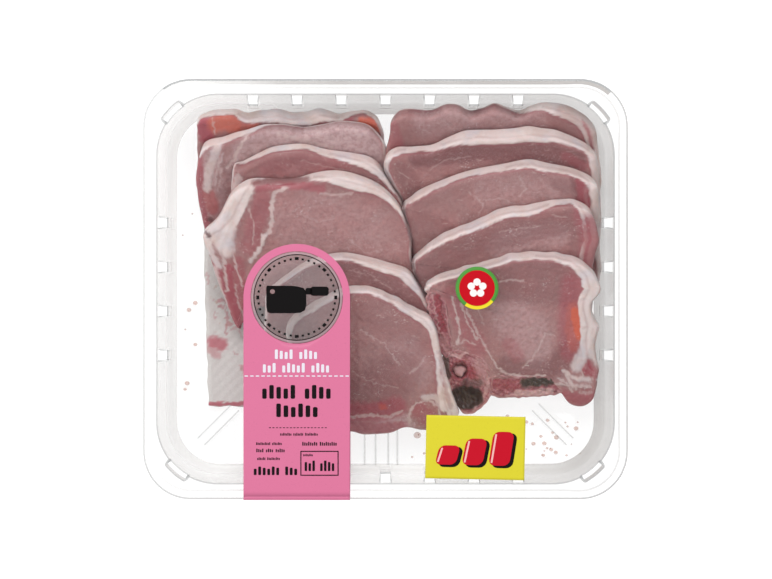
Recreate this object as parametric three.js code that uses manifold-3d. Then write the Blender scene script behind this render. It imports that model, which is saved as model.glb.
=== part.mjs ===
// Meat tray pack: eleven pork loin chops, shingled in two rows in a clear thermoformed tray,
// under a sealed lidding film with a wrap-round price label and two stickers.
// Millimetres, +Z up, +X to the right and +Y to the back as the pack is read.
// The origin is on the resting plane, under the centre of the pack.
import * as THREE from "three";
import { mergeVertices } from "three/addons/utils/BufferGeometryUtils.js";
import Module from "manifold-3d";

const wasm = await Module();
wasm.setup();

// Tray: overall rim, opening between the walls, and the wall that carries the ribs
const RIM = { width: 264, depth: 229, radius: 26, z: 50, lip: 3.5, edge: 1 };
const OPENING = { width: 248.3, depth: 211.4, radius: 33 };
const SHEET = 0.9;
const WALL = { draft: 4.5, fillet: 5 };
const BASE = { bottom: 1.2, floor: 2.1 };
const RIB = { pitch: 24.1, halfRoot: 4, halfTip: 2.9, shelf: 45, depth: 5.5, lowDepth: 2.6 };
const LONG_RIBS = [-3, -2, -1, 0, 1, 2, 3];
const SHORT_RIBS = [-1.5, -0.5, 0.5, 1.5];
// Corner pockets: the middle of each in degrees from the start of its corner, clockwise from the back right
const POCKET = { middles: [47, 51.1, 40.7, 43.5], half: 10, slope: 2.4, depth: 3.5 };
const FOOT = { x: 94, y: 77, width: 28, depth: 26, radius: 9 };
const FLOOR_RIB = { length: 27, width: 4.6, height: 0.8, x: 93, y: 76 };

// Film, label and stickers: thin sheets, a small gap apart
const GAP = 0.3;
const WELD = 2e-3;
const FILM = { thickness: 0.3, inset: 1.4 };
const LABEL = {
  width: 58, x: -48.3, top: 24.5, underEnd: -58, thickness: 0.3, window: 25.1, windowY: -4.6,
  wrapCorner: [[1.6, 4.2], [4.4, 1.5]], archSegments: 14, windowSegments: 32,
};
const SIZE_STICKER = { width: 54, depth: 34.5, corner: 0.6, x: 49.5, y: -86, turn: -1.2 };
const ROUND_STICKER = { radius: 11.7, x: 49.8, y: 0.5, segments: 28 };
const PAD = { left: -102, right: -4, front: -65.5, back: 92, corner: 1.5, thickness: 1.6, lift: 0.3 };

// Rows of chops. Every chop lies between two copies of its row's rising surface, a pitch apart in height:
// height(s) = low + slope (s - from) + the sum of the bends, each a soft step up in slope, with
// s = y + sag ((x - peak) / reach)^2, so that the rows curve as the meat does.
const ROWS = {
  right: {
    pitch: 13.5, low: -51, from: -62, slope: 0.41, sag: 9, peak: 84, reach: 72, floor: 2.7,
    bends: [[20, 0.11], [46, 0.07], [69, 0.09], [88, 0.36]],
  },
  left: {
    pitch: 12.5, low: -58.1, from: -77, slope: 0.41, sag: 8, peak: -36, reach: 60, floor: 4.3,
    bends: [[63, 0.31], [82, 0.15], [92, 0.15]],
  },
};
const BEND_SOFTNESS = 6;
const SLICE_GAP = 1.0;
const EDGE_ROUND = 2.2;
const FAT_GAP = 0.35;
const LEAST_FAT = 1.9;
const TIP_THICKNESS = 4.5;
const LONGEST_CHOP = 79;

// The crevice between the rows: [y, x] from the back to the front
const CREVICE = [
  [100, 0.6], [80, 0.6], [72, -0.2], [66.5, -1], [62, 1.2], [56, 4.2], [48, 9.3], [40, 10.6], [26, 14.3],
  [14, 14.9], [5.5, 17], [-7.5, 23.3], [-23.5, 28.8], [-38, 32.8], [-53.5, 36.8], [-62, 40.3], [-80, 44],
];
const CREVICE_CLEARANCE = 0.3;

// Chops, from the back of each row: [x, y, width of the fat edge], from the left end along the back.
// Those with a front given show all round; the others run on under the next chop.
const CHOPS = [
  {
    name: "right_1", row: "right", layer: 0, stations: 32, frontFrom: 4, frontTo: 115,
    back: [
      [2.2, 84, 0], [4, 95, 0.8], [12, 98.6, 1.2], [24, 97.7, 1.2], [36, 101.6, 1.2],
      [48, 97.7, 1.2], [60, 101.4, 1.4], [72.3, 97.6, 2.4], [84, 102, 5], [95, 101.6, 8],
      [104, 98, 8.5], [111, 93, 8], [115.5, 84, 7],
    ],
  },
  {
    name: "right_2", row: "right", layer: 1, stations: 25, frontFrom: 8, frontTo: 115,
    back: [
      [0.5, 65, 2.5], [5, 76.8, 5.5], [15, 78, 4.5], [27, 79.5, 4.5], [36, 84, 7], [46, 87, 9.2],
      [60, 87, 9], [78, 88.8, 9.8], [92.5, 87, 8], [103.5, 83, 6.5], [112.5, 77, 5], [116, 68, 4.5],
    ],
  },
  {
    name: "right_3", row: "right", layer: 2, stations: 25, frontFrom: 18, frontTo: 115,
    back: [
      [10.8, 41, 1.6], [14, 49.5, 4], [18.5, 54.5, 5], [33, 60.5, 4.2], [46, 65, 4.2],
      [60, 67.7, 4.8], [76.5, 71, 5.5], [87, 69.5, 6], [105, 65, 5], [113.5, 60.5, 6.5],
      [116, 52, 8],
    ],
  },
  {
    name: "right_4", row: "right", layer: 3, stations: 25, frontFrom: 31, frontTo: 115,
    back: [
      [16, 11, 1.4], [18.2, 18.5, 3.5], [24, 25.5, 5], [33, 31.5, 6], [47.5, 37, 6.2],
      [64.5, 44.5, 7], [78, 46.2, 7], [88, 48.3, 5], [102, 49.3, 3.5], [110, 44.5, 7],
      [114.5, 38, 8], [116.3, 27, 8],
    ],
  },
  {
    name: "right_5", row: "right", layer: 4, stations: 34,
    back: [
      [23, 3, 3.5], [28.5, 8, 5], [42, 12, 5], [55, 15.5, 5], [66.5, 19, 5], [78, 20.3, 4.8],
      [94.5, 20, 6], [104.5, 17, 7], [111, 10.5, 8], [116.5, 2, 10], [117.2, -5, 11],
      [113.2, -12.5, 7.5], [116.3, -21, 11], [115, -30, 9], [116.2, -41.5, 8],
    ],
    front: [
      [116, -51], [112.5, -60], [103, -62.5], [96.8, -57], [90, -49.2], [72, -48.2], [58, -47.8],
      [54, -39], [46, -35.5], [37.5, -33.5], [34.8, -23], [33, -11], [31, -2.6], [25, -2],
    ],
  },
  {
    name: "left_1", row: "left", layer: 0, stations: 30, frontFrom: -98, frontTo: -4,
    back: [
      [-102, 86, 0], [-100, 95, 3], [-92, 98, 4], [-82, 98.4, 4.5], [-74, 96.8, 7],
      [-61, 98.8, 8.6], [-48, 96.6, 8.6], [-36, 98.8, 8.6], [-25, 96.2, 5], [-14, 98.2, 2.5],
      [-6, 96.2, 3], [-2, 90, 2], [-0.8, 81, 1.4],
    ],
  },
  {
    name: "left_2", row: "left", layer: 1, stations: 29, frontFrom: -94, frontTo: -2,
    back: [
      [-102.5, 56, 0], [-101.5, 70, 0], [-98.5, 80, 4.5], [-88, 84, 4.5], [-79, 86.5, 4],
      [-70.5, 89, 2.5], [-60, 90.2, 1.4], [-44, 88.6, 1.2], [-33, 90.5, 1.2], [-22, 92, 1.2],
      [-14, 91.2, 1.2], [-7, 88.6, 1.2], [-2.6, 83, 1.2], [-1, 74, 1.2],
    ],
  },
  {
    name: "left_3", row: "left", layer: 2, stations: 25, frontFrom: -84, frontTo: 12,
    back: [
      [-87, 64, 1.5], [-79, 70, 3.2], [-66, 76, 3.4], [-58, 78.5, 3.8], [-48.5, 79.5, 4],
      [-40, 78.6, 4.2], [-26.5, 75.6, 5.5], [-10, 73, 8.2], [-3.8, 67, 7], [0.2, 62, 5],
      [3.2, 56, 3.6], [8.2, 48, 2],
    ],
  },
  {
    name: "left_4", row: "left", layer: 3, stations: 34, frontFrom: -74, frontTo: 21,
    back: [
      [-80, -24, 0], [-86.5, -10.5, 0], [-92, 4, 0], [-95.5, 17, 0], [-99.2, 30, 8],
      [-93, 37.5, 11], [-88.5, 46, 11.5], [-83.5, 54, 11], [-76, 59.6, 8], [-69, 60.6, 5],
      [-58, 60.4, 4], [-48.5, 60.8, 4], [-40, 63, 5], [-26.5, 65, 9], [-13, 61.6, 9.6],
      [-3, 56.8, 7], [5, 47.6, 5], [9.8, 38, 3.5], [13, 26, 1.8], [13.6, 14, 1.2],
    ],
  },
  {
    name: "left_5", row: "left", layer: 4, stations: 25, frontFrom: -62, frontTo: 33,
    back: [
      [-66, -6, 1.4], [-60, 3, 2.8], [-53.5, 8.5, 3.2], [-42, 16, 4.2], [-33, 18.5, 4.6],
      [-23.5, 20, 5], [-16.5, 19.2, 5.5], [-3, 16, 6.5], [9, 12, 7], [15.6, 5.5, 6.4],
      [19.8, -1, 4.4], [22.3, -7.5, 3.2], [25.6, -16, 2],
    ],
  },
  {
    name: "left_6", row: "left", layer: 5, stations: 34,
    back: [
      [-54, -30.5, 2.4], [-54.5, -20.5, 4], [-50, -13.5, 5], [-41, -8, 5], [-30, -2, 4.8],
      [-20, 1.7, 4.8], [-11, 2, 4.8], [-2, -0.5, 4.8], [7, -5, 5.6], [17, -10.5, 6.6],
      [24, -15.5, 7], [27.7, -23.5, 4.4], [29, -30, 3.8], [31.7, -38, 4.2], [35.8, -53.5, 7.5],
      [39, -62, 9.5], [40.6, -68, 8],
    ],
    front: [
      [36, -74.5], [22, -76.3], [10.5, -74.6], [4, -77.6], [-8, -78.6], [-22, -77], [-37, -74.8],
      [-46.5, -67], [-51.5, -51],
    ],
  },
];

// Bones that show at the cut edge of the front right chop: [x, y] round each
const BONES = {
  feather_bone: [
    [23.6, -2.8], [30.4, -3.4], [32.6, -11], [34.2, -23], [36.4, -33.4], [32.6, -36.6], [29, -29],
    [26.4, -19], [24, -10],
  ],
  vertebra: [
    [32.8, -38.4], [36.8, -34.2], [46, -36], [53.6, -39.6], [57.4, -48.4], [57, -57.6],
    [50.4, -65.8], [43.2, -66.8], [38.2, -57], [34.8, -46.5],
  ],
  rib_bone: [
    [59, -48.4], [74, -48.8], [89.6, -49.8], [96.2, -57.4], [89, -60], [66, -61.4], [58.4, -59.4],
    [57.9, -52.4],
  ],
};
const BONE_STATIONS = 18;
const BONE_ROUND = 1.1;
const CORD = { x: 41.5, y: -44.6, canal: 4.2, radius: 3.5, depth: 5, low: 1.2, segments: 14 };

const COLOURS = {
  plastic: { color: 0xf4f7f8, roughness: 0.15, opacity: 0.35 },
  film: { color: 0xffffff, roughness: 0.08, opacity: 0.15 },
  lean: { color: 0xa87478, roughness: 0.38 },
  fat: { color: 0xdccfca, roughness: 0.42 },
  bone: { color: 0xb0636b, roughness: 0.5 },
  marrow: { color: 0xb98f90, roughness: 0.45 },
  pad: { color: 0xdedcd8, roughness: 0.9 },
  labelPink: { color: 0xe57aa6, roughness: 0.55 },
  stickerYellow: { color: 0xe6dc33, roughness: 0.4 },
  stickerRed: { color: 0xd20a1c, roughness: 0.4 },
};

// The label folds over the front rim, so the pack sits back by half of that to keep the origin central
const SET_BACK = (GAP + LABEL.thickness) / 2;

const group = new THREE.Group();

// Adds one named mesh in a material of its own.
function addNode(name, geometry, look) {
  const { opacity = 1, ...rest } = COLOURS[look];
  const transparent = opacity < 1;
  const material = new THREE.MeshStandardMaterial({ ...rest, metalness: 0, opacity, transparent });
  const mesh = new THREE.Mesh(geometry.translate(0, SET_BACK, 0), material);
  mesh.name = name;
  group.add(mesh);
}

// A closed three.js geometry as a solid that can be joined and cut.
function toSolid(geometry) {
  const bare = geometry.clone();
  bare.deleteAttribute("normal");
  bare.deleteAttribute("uv");
  const merged = mergeVertices(bare, WELD);
  return new wasm.Manifold(
    new wasm.Mesh({
      numProp: 3,
      vertProperties: new Float32Array(merged.attributes.position.array),
      triVerts: new Uint32Array(merged.index.array),
    }),
  );
}

// The joined or cut solid as a geometry again.
function toGeometry(solid) {
  const { vertProperties, triVerts } = solid.getMesh();
  return new THREE.BufferGeometry()
    .setAttribute("position", new THREE.BufferAttribute(new Float32Array(vertProperties), 3))
    .setIndex(new THREE.BufferAttribute(new Uint32Array(triVerts), 1));
}

// A geometry from points and triangles, turned inside out if its volume comes out negative.
function closedGeometry(points, triangles) {
  let volume = 0;
  const [a, b, c] = [new THREE.Vector3(), new THREE.Vector3(), new THREE.Vector3()];
  for (const [i, j, k] of triangles) {
    a.fromArray(points[i]);
    b.fromArray(points[j]);
    c.fromArray(points[k]);
    volume += a.dot(b.cross(c));
  }
  const order = volume < 0 ? triangles.map(([i, j, k]) => [i, k, j]) : triangles;
  return new THREE.BufferGeometry()
    .setAttribute("position", new THREE.Float32BufferAttribute(points.flat(), 3))
    .setIndex(order.flat());
}

// Triangles between each ring of points and the next one.
function skinBetween(rings) {
  const count = rings[0].length;
  const triangles = [];
  for (let r = 0; r < rings.length - 1; r++) {
    for (let i = 0; i < count; i++) {
      const [a, b] = [r * count + i, r * count + ((i + 1) % count)];
      triangles.push([a, b, b + count], [a, b + count, a + count]);
    }
  }
  return triangles;
}

// Closed rings of points, skinned in order and closed on a point at each end.
function skinRings(rings, firstPoint, lastPoint) {
  const points = [...rings.flat(), firstPoint, lastPoint];
  const count = rings[0].length;
  const [first, last] = [points.length - 2, points.length - 1];
  const triangles = skinBetween(rings);
  const top = (rings.length - 1) * count;
  for (let i = 0; i < count; i++) {
    const next = (i + 1) % count;
    triangles.push([first, next, i], [last, top + i, top + next]);
  }
  return closedGeometry(points, triangles);
}

// Closed rings of points, skinned in order and from the last back to the first.
function skinLoop(rings) {
  return closedGeometry([...rings, rings[0]].flat(), skinBetween([...rings, rings[0]]));
}

// Stations round the tray. Each has its point on the opening and on the rim, the way in, the way
// along the flank of a rib or pocket, and how much of a rib or a corner pocket it carries.
function trayStations() {
  const stations = [];
  const [openX, openY] = [OPENING.width / 2 - OPENING.radius, OPENING.depth / 2 - OPENING.radius];
  const [rimX, rimY] = [RIM.width / 2 - RIM.radius, RIM.depth / 2 - RIM.radius];
  const flanks = [[-RIB.halfRoot, 0], [-RIB.halfTip, 1], [RIB.halfTip, 1], [RIB.halfRoot, 0]];
  const { half, slope } = POCKET;
  const sides = [LONG_RIBS, SHORT_RIBS, LONG_RIBS, SHORT_RIBS];
  sides.forEach((ribs, side) => {
    const out = new THREE.Vector2(0, 1).rotateAround(new THREE.Vector2(), (-side * Math.PI) / 2);
    const along = new THREE.Vector2(out.y, -out.x);
    const long = side % 2 === 0;
    const openOut = (long ? OPENING.depth : OPENING.width) / 2;
    const rimOut = (long ? RIM.depth : RIM.width) / 2;
    for (const rib of ribs) {
      for (const [offset, weight] of flanks) {
        const run = rib * RIB.pitch + offset;
        stations.push({
          open: along.clone().multiplyScalar(run).addScaledVector(out, openOut),
          rim: along.clone().multiplyScalar(run).addScaledVector(out, rimOut),
          inward: out.clone().negate(),
          flank: along.clone().multiplyScalar(-Math.sign(offset)),
          rib: weight,
          pocket: 0,
        });
      }
    }
    const [signX, signY] = [Math.sign(out.x + along.x), Math.sign(out.y + along.y)];
    const middle = POCKET.middles[side];
    const [from, to] = [middle - half, middle + half];
    for (const degrees of [0, 15, from - slope, from, middle, to, to + slope, 75, 90]) {
      const turn = THREE.MathUtils.degToRad(degrees);
      const ray = out.clone().rotateAround(new THREE.Vector2(), -turn);
      const pocket = degrees >= from && degrees <= to ? 1 : 0;
      const nearPocket = degrees > 15 && degrees < 75 && degrees !== middle;
      const tangent = new THREE.Vector2(ray.y, -ray.x).multiplyScalar(Math.sign(degrees - middle));
      stations.push({
        open: new THREE.Vector2(signX * openX, signY * openY).addScaledVector(ray, OPENING.radius),
        rim: new THREE.Vector2(signX * rimX, signY * rimY).addScaledVector(ray, RIM.radius),
        inward: ray.clone().negate(),
        flank: nearPocket ? tangent : new THREE.Vector2(),
        rib: 0,
        pocket,
      });
    }
  });
  return stations;
}

// One ring of points round the tray, moved in from the opening or the rim, with its ribs and pockets.
function trayRing(stations, line, z, { inset = 0, rib = 0, pocket = 0, shift = 0 } = {}) {
  return stations.map((at) => {
    const p = at[line].clone().addScaledVector(at.inward, inset + at.rib * rib - at.pocket * pocket);
    p.addScaledVector(at.flank, shift);
    return [p.x, p.y, z];
  });
}

// The tray's wall and base: rings up the inside, over the top and down the outside to the base.
function bodyGeometry(stations) {
  const drop = (z) => (WALL.draft * (RIM.z - z)) / (RIM.z - BASE.floor);
  const low = BASE.floor + WALL.fillet;
  const shelfStep = 0.2;
  const foot = WALL.draft + WALL.fillet;
  const underShelf = RIB.shelf - SHEET;
  const pocket = POCKET.depth;
  const flank = SHEET * 0.8; // a rib is narrower by the sheet on its outside
  const rings = [
    trayRing(stations, "open", BASE.floor, { inset: foot }),
    trayRing(stations, "open", low, { inset: drop(low), rib: RIB.lowDepth }),
    trayRing(stations, "open", RIB.shelf, { inset: drop(RIB.shelf), rib: RIB.depth }),
    trayRing(stations, "open", RIB.shelf + shelfStep, { inset: drop(RIB.shelf), pocket }),
    trayRing(stations, "open", RIM.z, { pocket }),
    trayRing(stations, "open", RIM.z, { inset: -SHEET, pocket, shift: -SHEET / 2 }),
    trayRing(stations, "open", underShelf + shelfStep, { inset: -SHEET / 2, pocket, shift: -SHEET / 2 }),
    trayRing(stations, "open", underShelf, { inset: drop(RIB.shelf) - SHEET, rib: RIB.depth, shift: flank }),
    trayRing(stations, "open", low, { inset: drop(low) - SHEET, rib: RIB.lowDepth, shift: flank }),
    trayRing(stations, "open", BASE.bottom, { inset: foot }),
  ];
  return skinRings(rings, [0, 0, BASE.floor], [0, 0, BASE.bottom]);
}

// The tray's rim: flat on top, with a turned-down lip, a small gap outside the wall.
function rimGeometry(stations) {
  const underRim = RIM.z - SHEET;
  const lipZ = RIM.z - RIM.lip;
  const clearance = GAP + 0.1;
  const beside = { inset: -SHEET - clearance, pocket: POCKET.depth, shift: -SHEET / 2 };
  return skinLoop([
    trayRing(stations, "open", RIM.z, beside),
    trayRing(stations, "rim", RIM.z, { inset: RIM.edge }),
    trayRing(stations, "rim", lipZ),
    trayRing(stations, "rim", lipZ, { inset: SHEET }),
    trayRing(stations, "rim", underRim, { inset: SHEET }),
    trayRing(stations, "open", underRim, beside),
  ]);
}

// A flat sheet with rounded corners.
function roundedSheet(width, depth, radius, thickness, curveSegments) {
  const shape = new THREE.Shape();
  const [x, y] = [width / 2 - radius, depth / 2 - radius];
  shape.absarc(x, y, radius, 0, Math.PI / 2);
  shape.absarc(-x, y, radius, Math.PI / 2, Math.PI);
  shape.absarc(-x, -y, radius, Math.PI, 1.5 * Math.PI);
  shape.absarc(x, -y, radius, 1.5 * Math.PI, 2 * Math.PI);
  return new THREE.ExtrudeGeometry(shape, { depth: thickness, bevelEnabled: false, curveSegments });
}

// The base carries four low feet outside and four slanted stiffening ribs on its floor.
function bodyWithFeet(stations) {
  let body = toSolid(bodyGeometry(stations));
  const overlap = 0.4;
  for (const signX of [-1, 1]) {
    for (const signY of [-1, 1]) {
      const foot = roundedSheet(FOOT.width, FOOT.depth, FOOT.radius, BASE.bottom + overlap, 3);
      foot.translate(signX * FOOT.x, signY * FOOT.y, 0);
      const rib = roundedSheet(
        FLOOR_RIB.length, FLOOR_RIB.width, FLOOR_RIB.width / 2 - 0.1, FLOOR_RIB.height + overlap, 2,
      );
      rib.rotateZ((signX * signY * Math.PI) / 4);
      rib.translate(signX * FLOOR_RIB.x, signY * FLOOR_RIB.y, BASE.floor - overlap);
      body = body.add(toSolid(foot));
      if (signY < 0) body = body.add(toSolid(rib));
    }
  }
  return toGeometry(body);
}

// A strip of even thickness along a path of [y, z] points, as wide as the label.
function wrapStrip(path, thickness, width) {
  const points = path.map(([y, z]) => new THREE.Vector2(y, z));
  const offset = (i, side) => {
    const before = points[Math.max(i - 1, 0)];
    const after = points[Math.min(i + 1, points.length - 1)];
    const into = points[i].clone().sub(before).normalize();
    const out = after.clone().sub(points[i]).normalize();
    const way = into.add(out).normalize();
    return points[i].clone().add(new THREE.Vector2(-way.y, way.x).multiplyScalar((side * thickness) / 2));
  };
  const rail = (side) => points.map((_, i) => offset(i, side));
  const shape = new THREE.Shape([...rail(1), ...rail(-1).reverse()]);
  const strip = new THREE.ExtrudeGeometry(shape, { depth: width, bevelEnabled: false });
  strip.translate(0, 0, -width / 2);
  strip.applyMatrix4(new THREE.Matrix4().set(0, 0, 1, 0, 1, 0, 0, 0, 0, 1, 0, 0, 0, 0, 0, 1));
  return strip;
}

// The price label: an arched front with a round window, folded over the front rim and under the base.
function labelGeometry(z) {
  const half = LABEL.width / 2;
  const foldY = -RIM.depth / 2 - GAP - LABEL.thickness / 2;
  const face = new THREE.Shape();
  face.moveTo(-half, foldY + 1);
  face.lineTo(half, foldY + 1);
  face.absarc(0, LABEL.top - half, half, 0, Math.PI);
  const window = new THREE.Path();
  window.absarc(0, LABEL.windowY, LABEL.window, 0, 2 * Math.PI, true);
  face.holes.push(window);
  const flat = { depth: LABEL.thickness, bevelEnabled: false, curveSegments: LABEL.archSegments };
  const front = new THREE.ExtrudeGeometry(face, flat);
  front.translate(0, 0, z);
  const middle = z + LABEL.thickness / 2;
  const under = BASE.bottom - GAP - LABEL.thickness / 2;
  const corner = LABEL.wrapCorner.map(([y, z]) => [y - OPENING.depth / 2, z]);
  const belowLip = RIM.z - RIM.lip - 1;
  const path = [
    [foldY + 4, middle], [foldY, middle], [foldY, belowLip],
    ...corner, [corner.at(-1)[0] + 4.2, under], [LABEL.underEnd, under],
  ];
  const wrap = wrapStrip(path, LABEL.thickness, LABEL.width);
  const joined = toGeometry(toSolid(front).add(toSolid(wrap)));
  return joined.translate(LABEL.x, 0, 0);
}

function disc(radius, thickness, segments) {
  return new THREE.CylinderGeometry(radius, radius, thickness, segments).rotateX(Math.PI / 2);
}

// Height of a row's common surface over a point.
function rowHeight(row, x, y) {
  const s = y + row.sag * ((x - row.peak) / row.reach) ** 2;
  let height = row.low + row.slope * (s - row.from);
  for (const [at, rise] of row.bends) {
    height += rise * BEND_SOFTNESS * Math.log(1 + Math.exp((s - at) / BEND_SOFTNESS));
  }
  return height;
}

// The front s at which a chop's tip has thinned out on the floor, found by stepping forward.
function frontLine(row, layer, backMost) {
  const tip = row.floor + TIP_THICKNESS - (layer + 1) * row.pitch + SLICE_GAP;
  const step = 0.5;
  let s = backMost;
  while (s > backMost - LONGEST_CHOP && rowHeight(row, row.peak, s) > tip) s -= step;
  return s;
}

function creviceX(y) {
  const after = CREVICE.findIndex(([at]) => at <= y);
  if (after <= 0) return CREVICE[after < 0 ? CREVICE.length - 1 : 0][1];
  const [[y0, x0], [y1, x1]] = [CREVICE[after - 1], CREVICE[after]];
  return THREE.MathUtils.mapLinear(y, y0, y1, x0, x1);
}

// A closed smooth outline through the points, evenly spaced, kept on its side of the crevice.
function outline(points, count, side) {
  const corners = points.map(([x, y, fat = 0]) => new THREE.Vector3(x, y, fat));
  const curve = new THREE.CatmullRomCurve3(corners, true, "catmullrom", 0.5);
  const spaced = curve.getSpacedPoints(count).slice(0, count);
  return spaced.map(({ x, y, z }) => {
    const limit = creviceX(y) + side * CREVICE_CLEARANCE;
    return { x: side > 0 ? Math.max(x, limit) : Math.min(x, limit), y, fat: Math.max(0, z) };
  });
}

function withNormals(loop) {
  const area = loop.reduce((sum, p, i) => {
    const q = loop[(i + 1) % loop.length];
    return sum + p.x * q.y - q.x * p.y;
  }, 0);
  const sign = area > 0 ? 1 : -1;
  return loop.map((p, i) => {
    const [before, after] = [loop.at(i - 1), loop[(i + 1) % loop.length]];
    const way = new THREE.Vector2(after.x - before.x, after.y - before.y).normalize();
    return { ...p, out: new THREE.Vector2(sign * way.y, -sign * way.x) };
  });
}

// The cut side at a share of the thickness, square to the sloping faces and rounded at its edges.
// Its top edge leans to the front of the row along the back, and its bottom edge to the back along
// the front.
function sidePoint(row, p, share, upright) {
  const step = 2;
  const rise = (rowHeight(row, p.x, p.y + step) - rowHeight(row, p.x, p.y - step)) / (2 * step);
  const lean = (row.pitch * rise) / (1 + rise * rise);
  const rounding = (upright ? BONE_ROUND : EDGE_ROUND) * ((1 - share) ** 3 + share ** 3);
  const shift = Math.max(0, -p.out.y) * (1 - share) - Math.max(0, p.out.y) * share;
  return [p.x - rounding * p.out.x, p.y - rounding * p.out.y + (upright ? 0 : lean * shift)];
}

// A point of a layer: moved in from the outline, at a share of the thickness between its two faces.
function layerPoint(row, layer, x, y, share) {
  const surface = rowHeight(row, x, y);
  const bottom = Math.max(surface + layer * row.pitch, row.floor);
  const top = surface + (layer + 1) * row.pitch - SLICE_GAP;
  return [x, y, bottom + share * (Math.max(top, bottom + 1) - bottom)];
}

// A slab of a layer inside a loop of points.
function slabGeometry(row, layer, loop, upright = false) {
  const shares = [0, 0.35, 0.72, 1];
  const [underScale, overScale] = [0.55, 0.6];
  const cx = loop.reduce((sum, p) => sum + p.x, 0) / loop.length;
  const cy = loop.reduce((sum, p) => sum + p.y, 0) / loop.length;
  const ring = (share, scale) =>
    loop.map((p) => {
      const [x, y] = sidePoint(row, p, share, upright);
      return layerPoint(row, layer, cx + (x - cx) * scale, cy + (y - cy) * scale, share);
    });
  const sides = shares.map((share) => ring(share, 1));
  const rings = [ring(0, underScale), ...sides, ring(1, overScale)];
  return skinRings(rings, layerPoint(row, layer, cx, cy, 0), layerPoint(row, layer, cx, cy, 1));
}

// An upright prism whose wall follows the inner edge of the fat, a little further in if a gap is
// given. Where there is no fat it runs outside the chop. Points that would fold over at a tight
// corner are left out.
function leanPrism(loop, gap) {
  const outside = -4;
  const reach = (p) => (p.fat > LEAST_FAT ? p.fat + gap : outside);
  const moved = loop.map((p) => [p.x - reach(p) * p.out.x, p.y - reach(p) * p.out.y, reach(p)]);
  const slack = 0.35;
  const clearOf = (x, y, q) => Math.hypot(x - q.x, y - q.y) > (q.fat > LEAST_FAT ? q.fat : 0) - slack;
  const kept = moved.filter(([x, y, inset]) => inset < 0 || loop.every((q) => clearOf(x, y, q)));
  const shape = new THREE.Shape(kept.map(([x, y]) => new THREE.Vector2(x, y)));
  return toSolid(new THREE.ExtrudeGeometry(shape, { depth: RIM.z, bevelEnabled: false }));
}

// The largest piece of a solid that a cut may have left in several, its shortest edges welded away.
function largestPiece(solid) {
  const pieces = toSolid(toGeometry(solid)).decompose();
  return pieces.reduce((most, piece) => (piece.volume() > most.volume() ? piece : most));
}

// One chop: the lean, and the band of fat along its edge as a solid of its own.
function addChop(chop) {
  const row = ROWS[chop.row];
  const side = chop.row === "right" ? 1 : -1;
  const points = [...chop.back, ...(chop.front ?? hiddenFront(chop, row))];
  const loop = withNormals(outline(points, chop.stations, side));
  const whole = toSolid(slabGeometry(row, chop.layer, loop));
  const lean = largestPiece(whole.intersect(leanPrism(loop, FAT_GAP)));
  const fat = largestPiece(whole.subtract(leanPrism(loop, 0)));
  addNode("chop_" + chop.name + "_lean", toGeometry(lean), "lean");
  addNode("chop_" + chop.name + "_fat", toGeometry(fat), "fat");
}

// The hidden front of a chop: where it thins out on the floor under the next one.
function hiddenFront(chop, row) {
  const backMost = Math.max(...chop.back.map(([, y]) => y));
  const s = frontLine(row, chop.layer, backMost);
  const cornerCut = 6;
  return [0, 0.33, 0.67, 1].map((share) => {
    const x = THREE.MathUtils.lerp(chop.frontTo, chop.frontFrom, share);
    const corner = share % 1 === 0 ? cornerCut : 0;
    return [x, s + corner - row.sag * ((x - row.peak) / row.reach) ** 2];
  });
}

function addBones() {
  const row = ROWS.right;
  const layer = 4; // that of the front chop
  for (const [name, points] of Object.entries(BONES)) {
    const loop = withNormals(outline(points, BONE_STATIONS, 1));
    let bone = toSolid(slabGeometry(row, layer, loop, true));
    if (name === "vertebra") {
      const top = layerPoint(row, layer, CORD.x, CORD.y, 1)[2];
      const canal = disc(CORD.canal, 2 * CORD.depth, CORD.segments).translate(CORD.x, CORD.y, top);
      bone = bone.subtract(toSolid(canal));
      const height = CORD.depth - CORD.low - GAP;
      const cord = disc(CORD.radius, height, CORD.segments);
      cord.translate(CORD.x, CORD.y, top - CORD.depth + GAP + height / 2);
      addNode("spinal_cord", cord, "marrow");
    }
    addNode(name, toGeometry(bone), "bone");
  }
}

const stations = trayStations();
addNode("tray_body", bodyWithFeet(stations), "plastic");
addNode("tray_rim", rimGeometry(stations), "plastic");

const filmZ = RIM.z + GAP;
const film = roundedSheet(
  RIM.width - 2 * FILM.inset, RIM.depth - 2 * FILM.inset, RIM.radius - FILM.inset, FILM.thickness, 5,
);
addNode("lidding_film", film.translate(0, 0, filmZ), "film");

const labelZ = filmZ + FILM.thickness + GAP;
addNode("price_label", labelGeometry(labelZ), "labelPink");
const windowDisc = disc(LABEL.window - GAP, LABEL.thickness, LABEL.windowSegments);
addNode("label_window", windowDisc.translate(LABEL.x, LABEL.windowY, labelZ + LABEL.thickness / 2), "film");

const { width, depth, corner } = SIZE_STICKER;
const sizeSticker = roundedSheet(width, depth, corner, LABEL.thickness, 1);
sizeSticker.rotateZ(THREE.MathUtils.degToRad(SIZE_STICKER.turn));
addNode("size_sticker", sizeSticker.translate(SIZE_STICKER.x, SIZE_STICKER.y, labelZ), "stickerYellow");
const roundSticker = disc(ROUND_STICKER.radius, LABEL.thickness, ROUND_STICKER.segments);
roundSticker.translate(ROUND_STICKER.x, ROUND_STICKER.y, labelZ + LABEL.thickness / 2);
addNode("round_sticker", roundSticker, "stickerRed");

const [padWidth, padDepth] = [PAD.right - PAD.left, PAD.back - PAD.front];
const pad = roundedSheet(padWidth, padDepth, PAD.corner, PAD.thickness, 2);
pad.translate((PAD.left + PAD.right) / 2, (PAD.back + PAD.front) / 2, BASE.floor + PAD.lift);
addNode("absorbent_pad", pad, "pad");

CHOPS.forEach(addChop);
addBones();

export default group;
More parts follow.
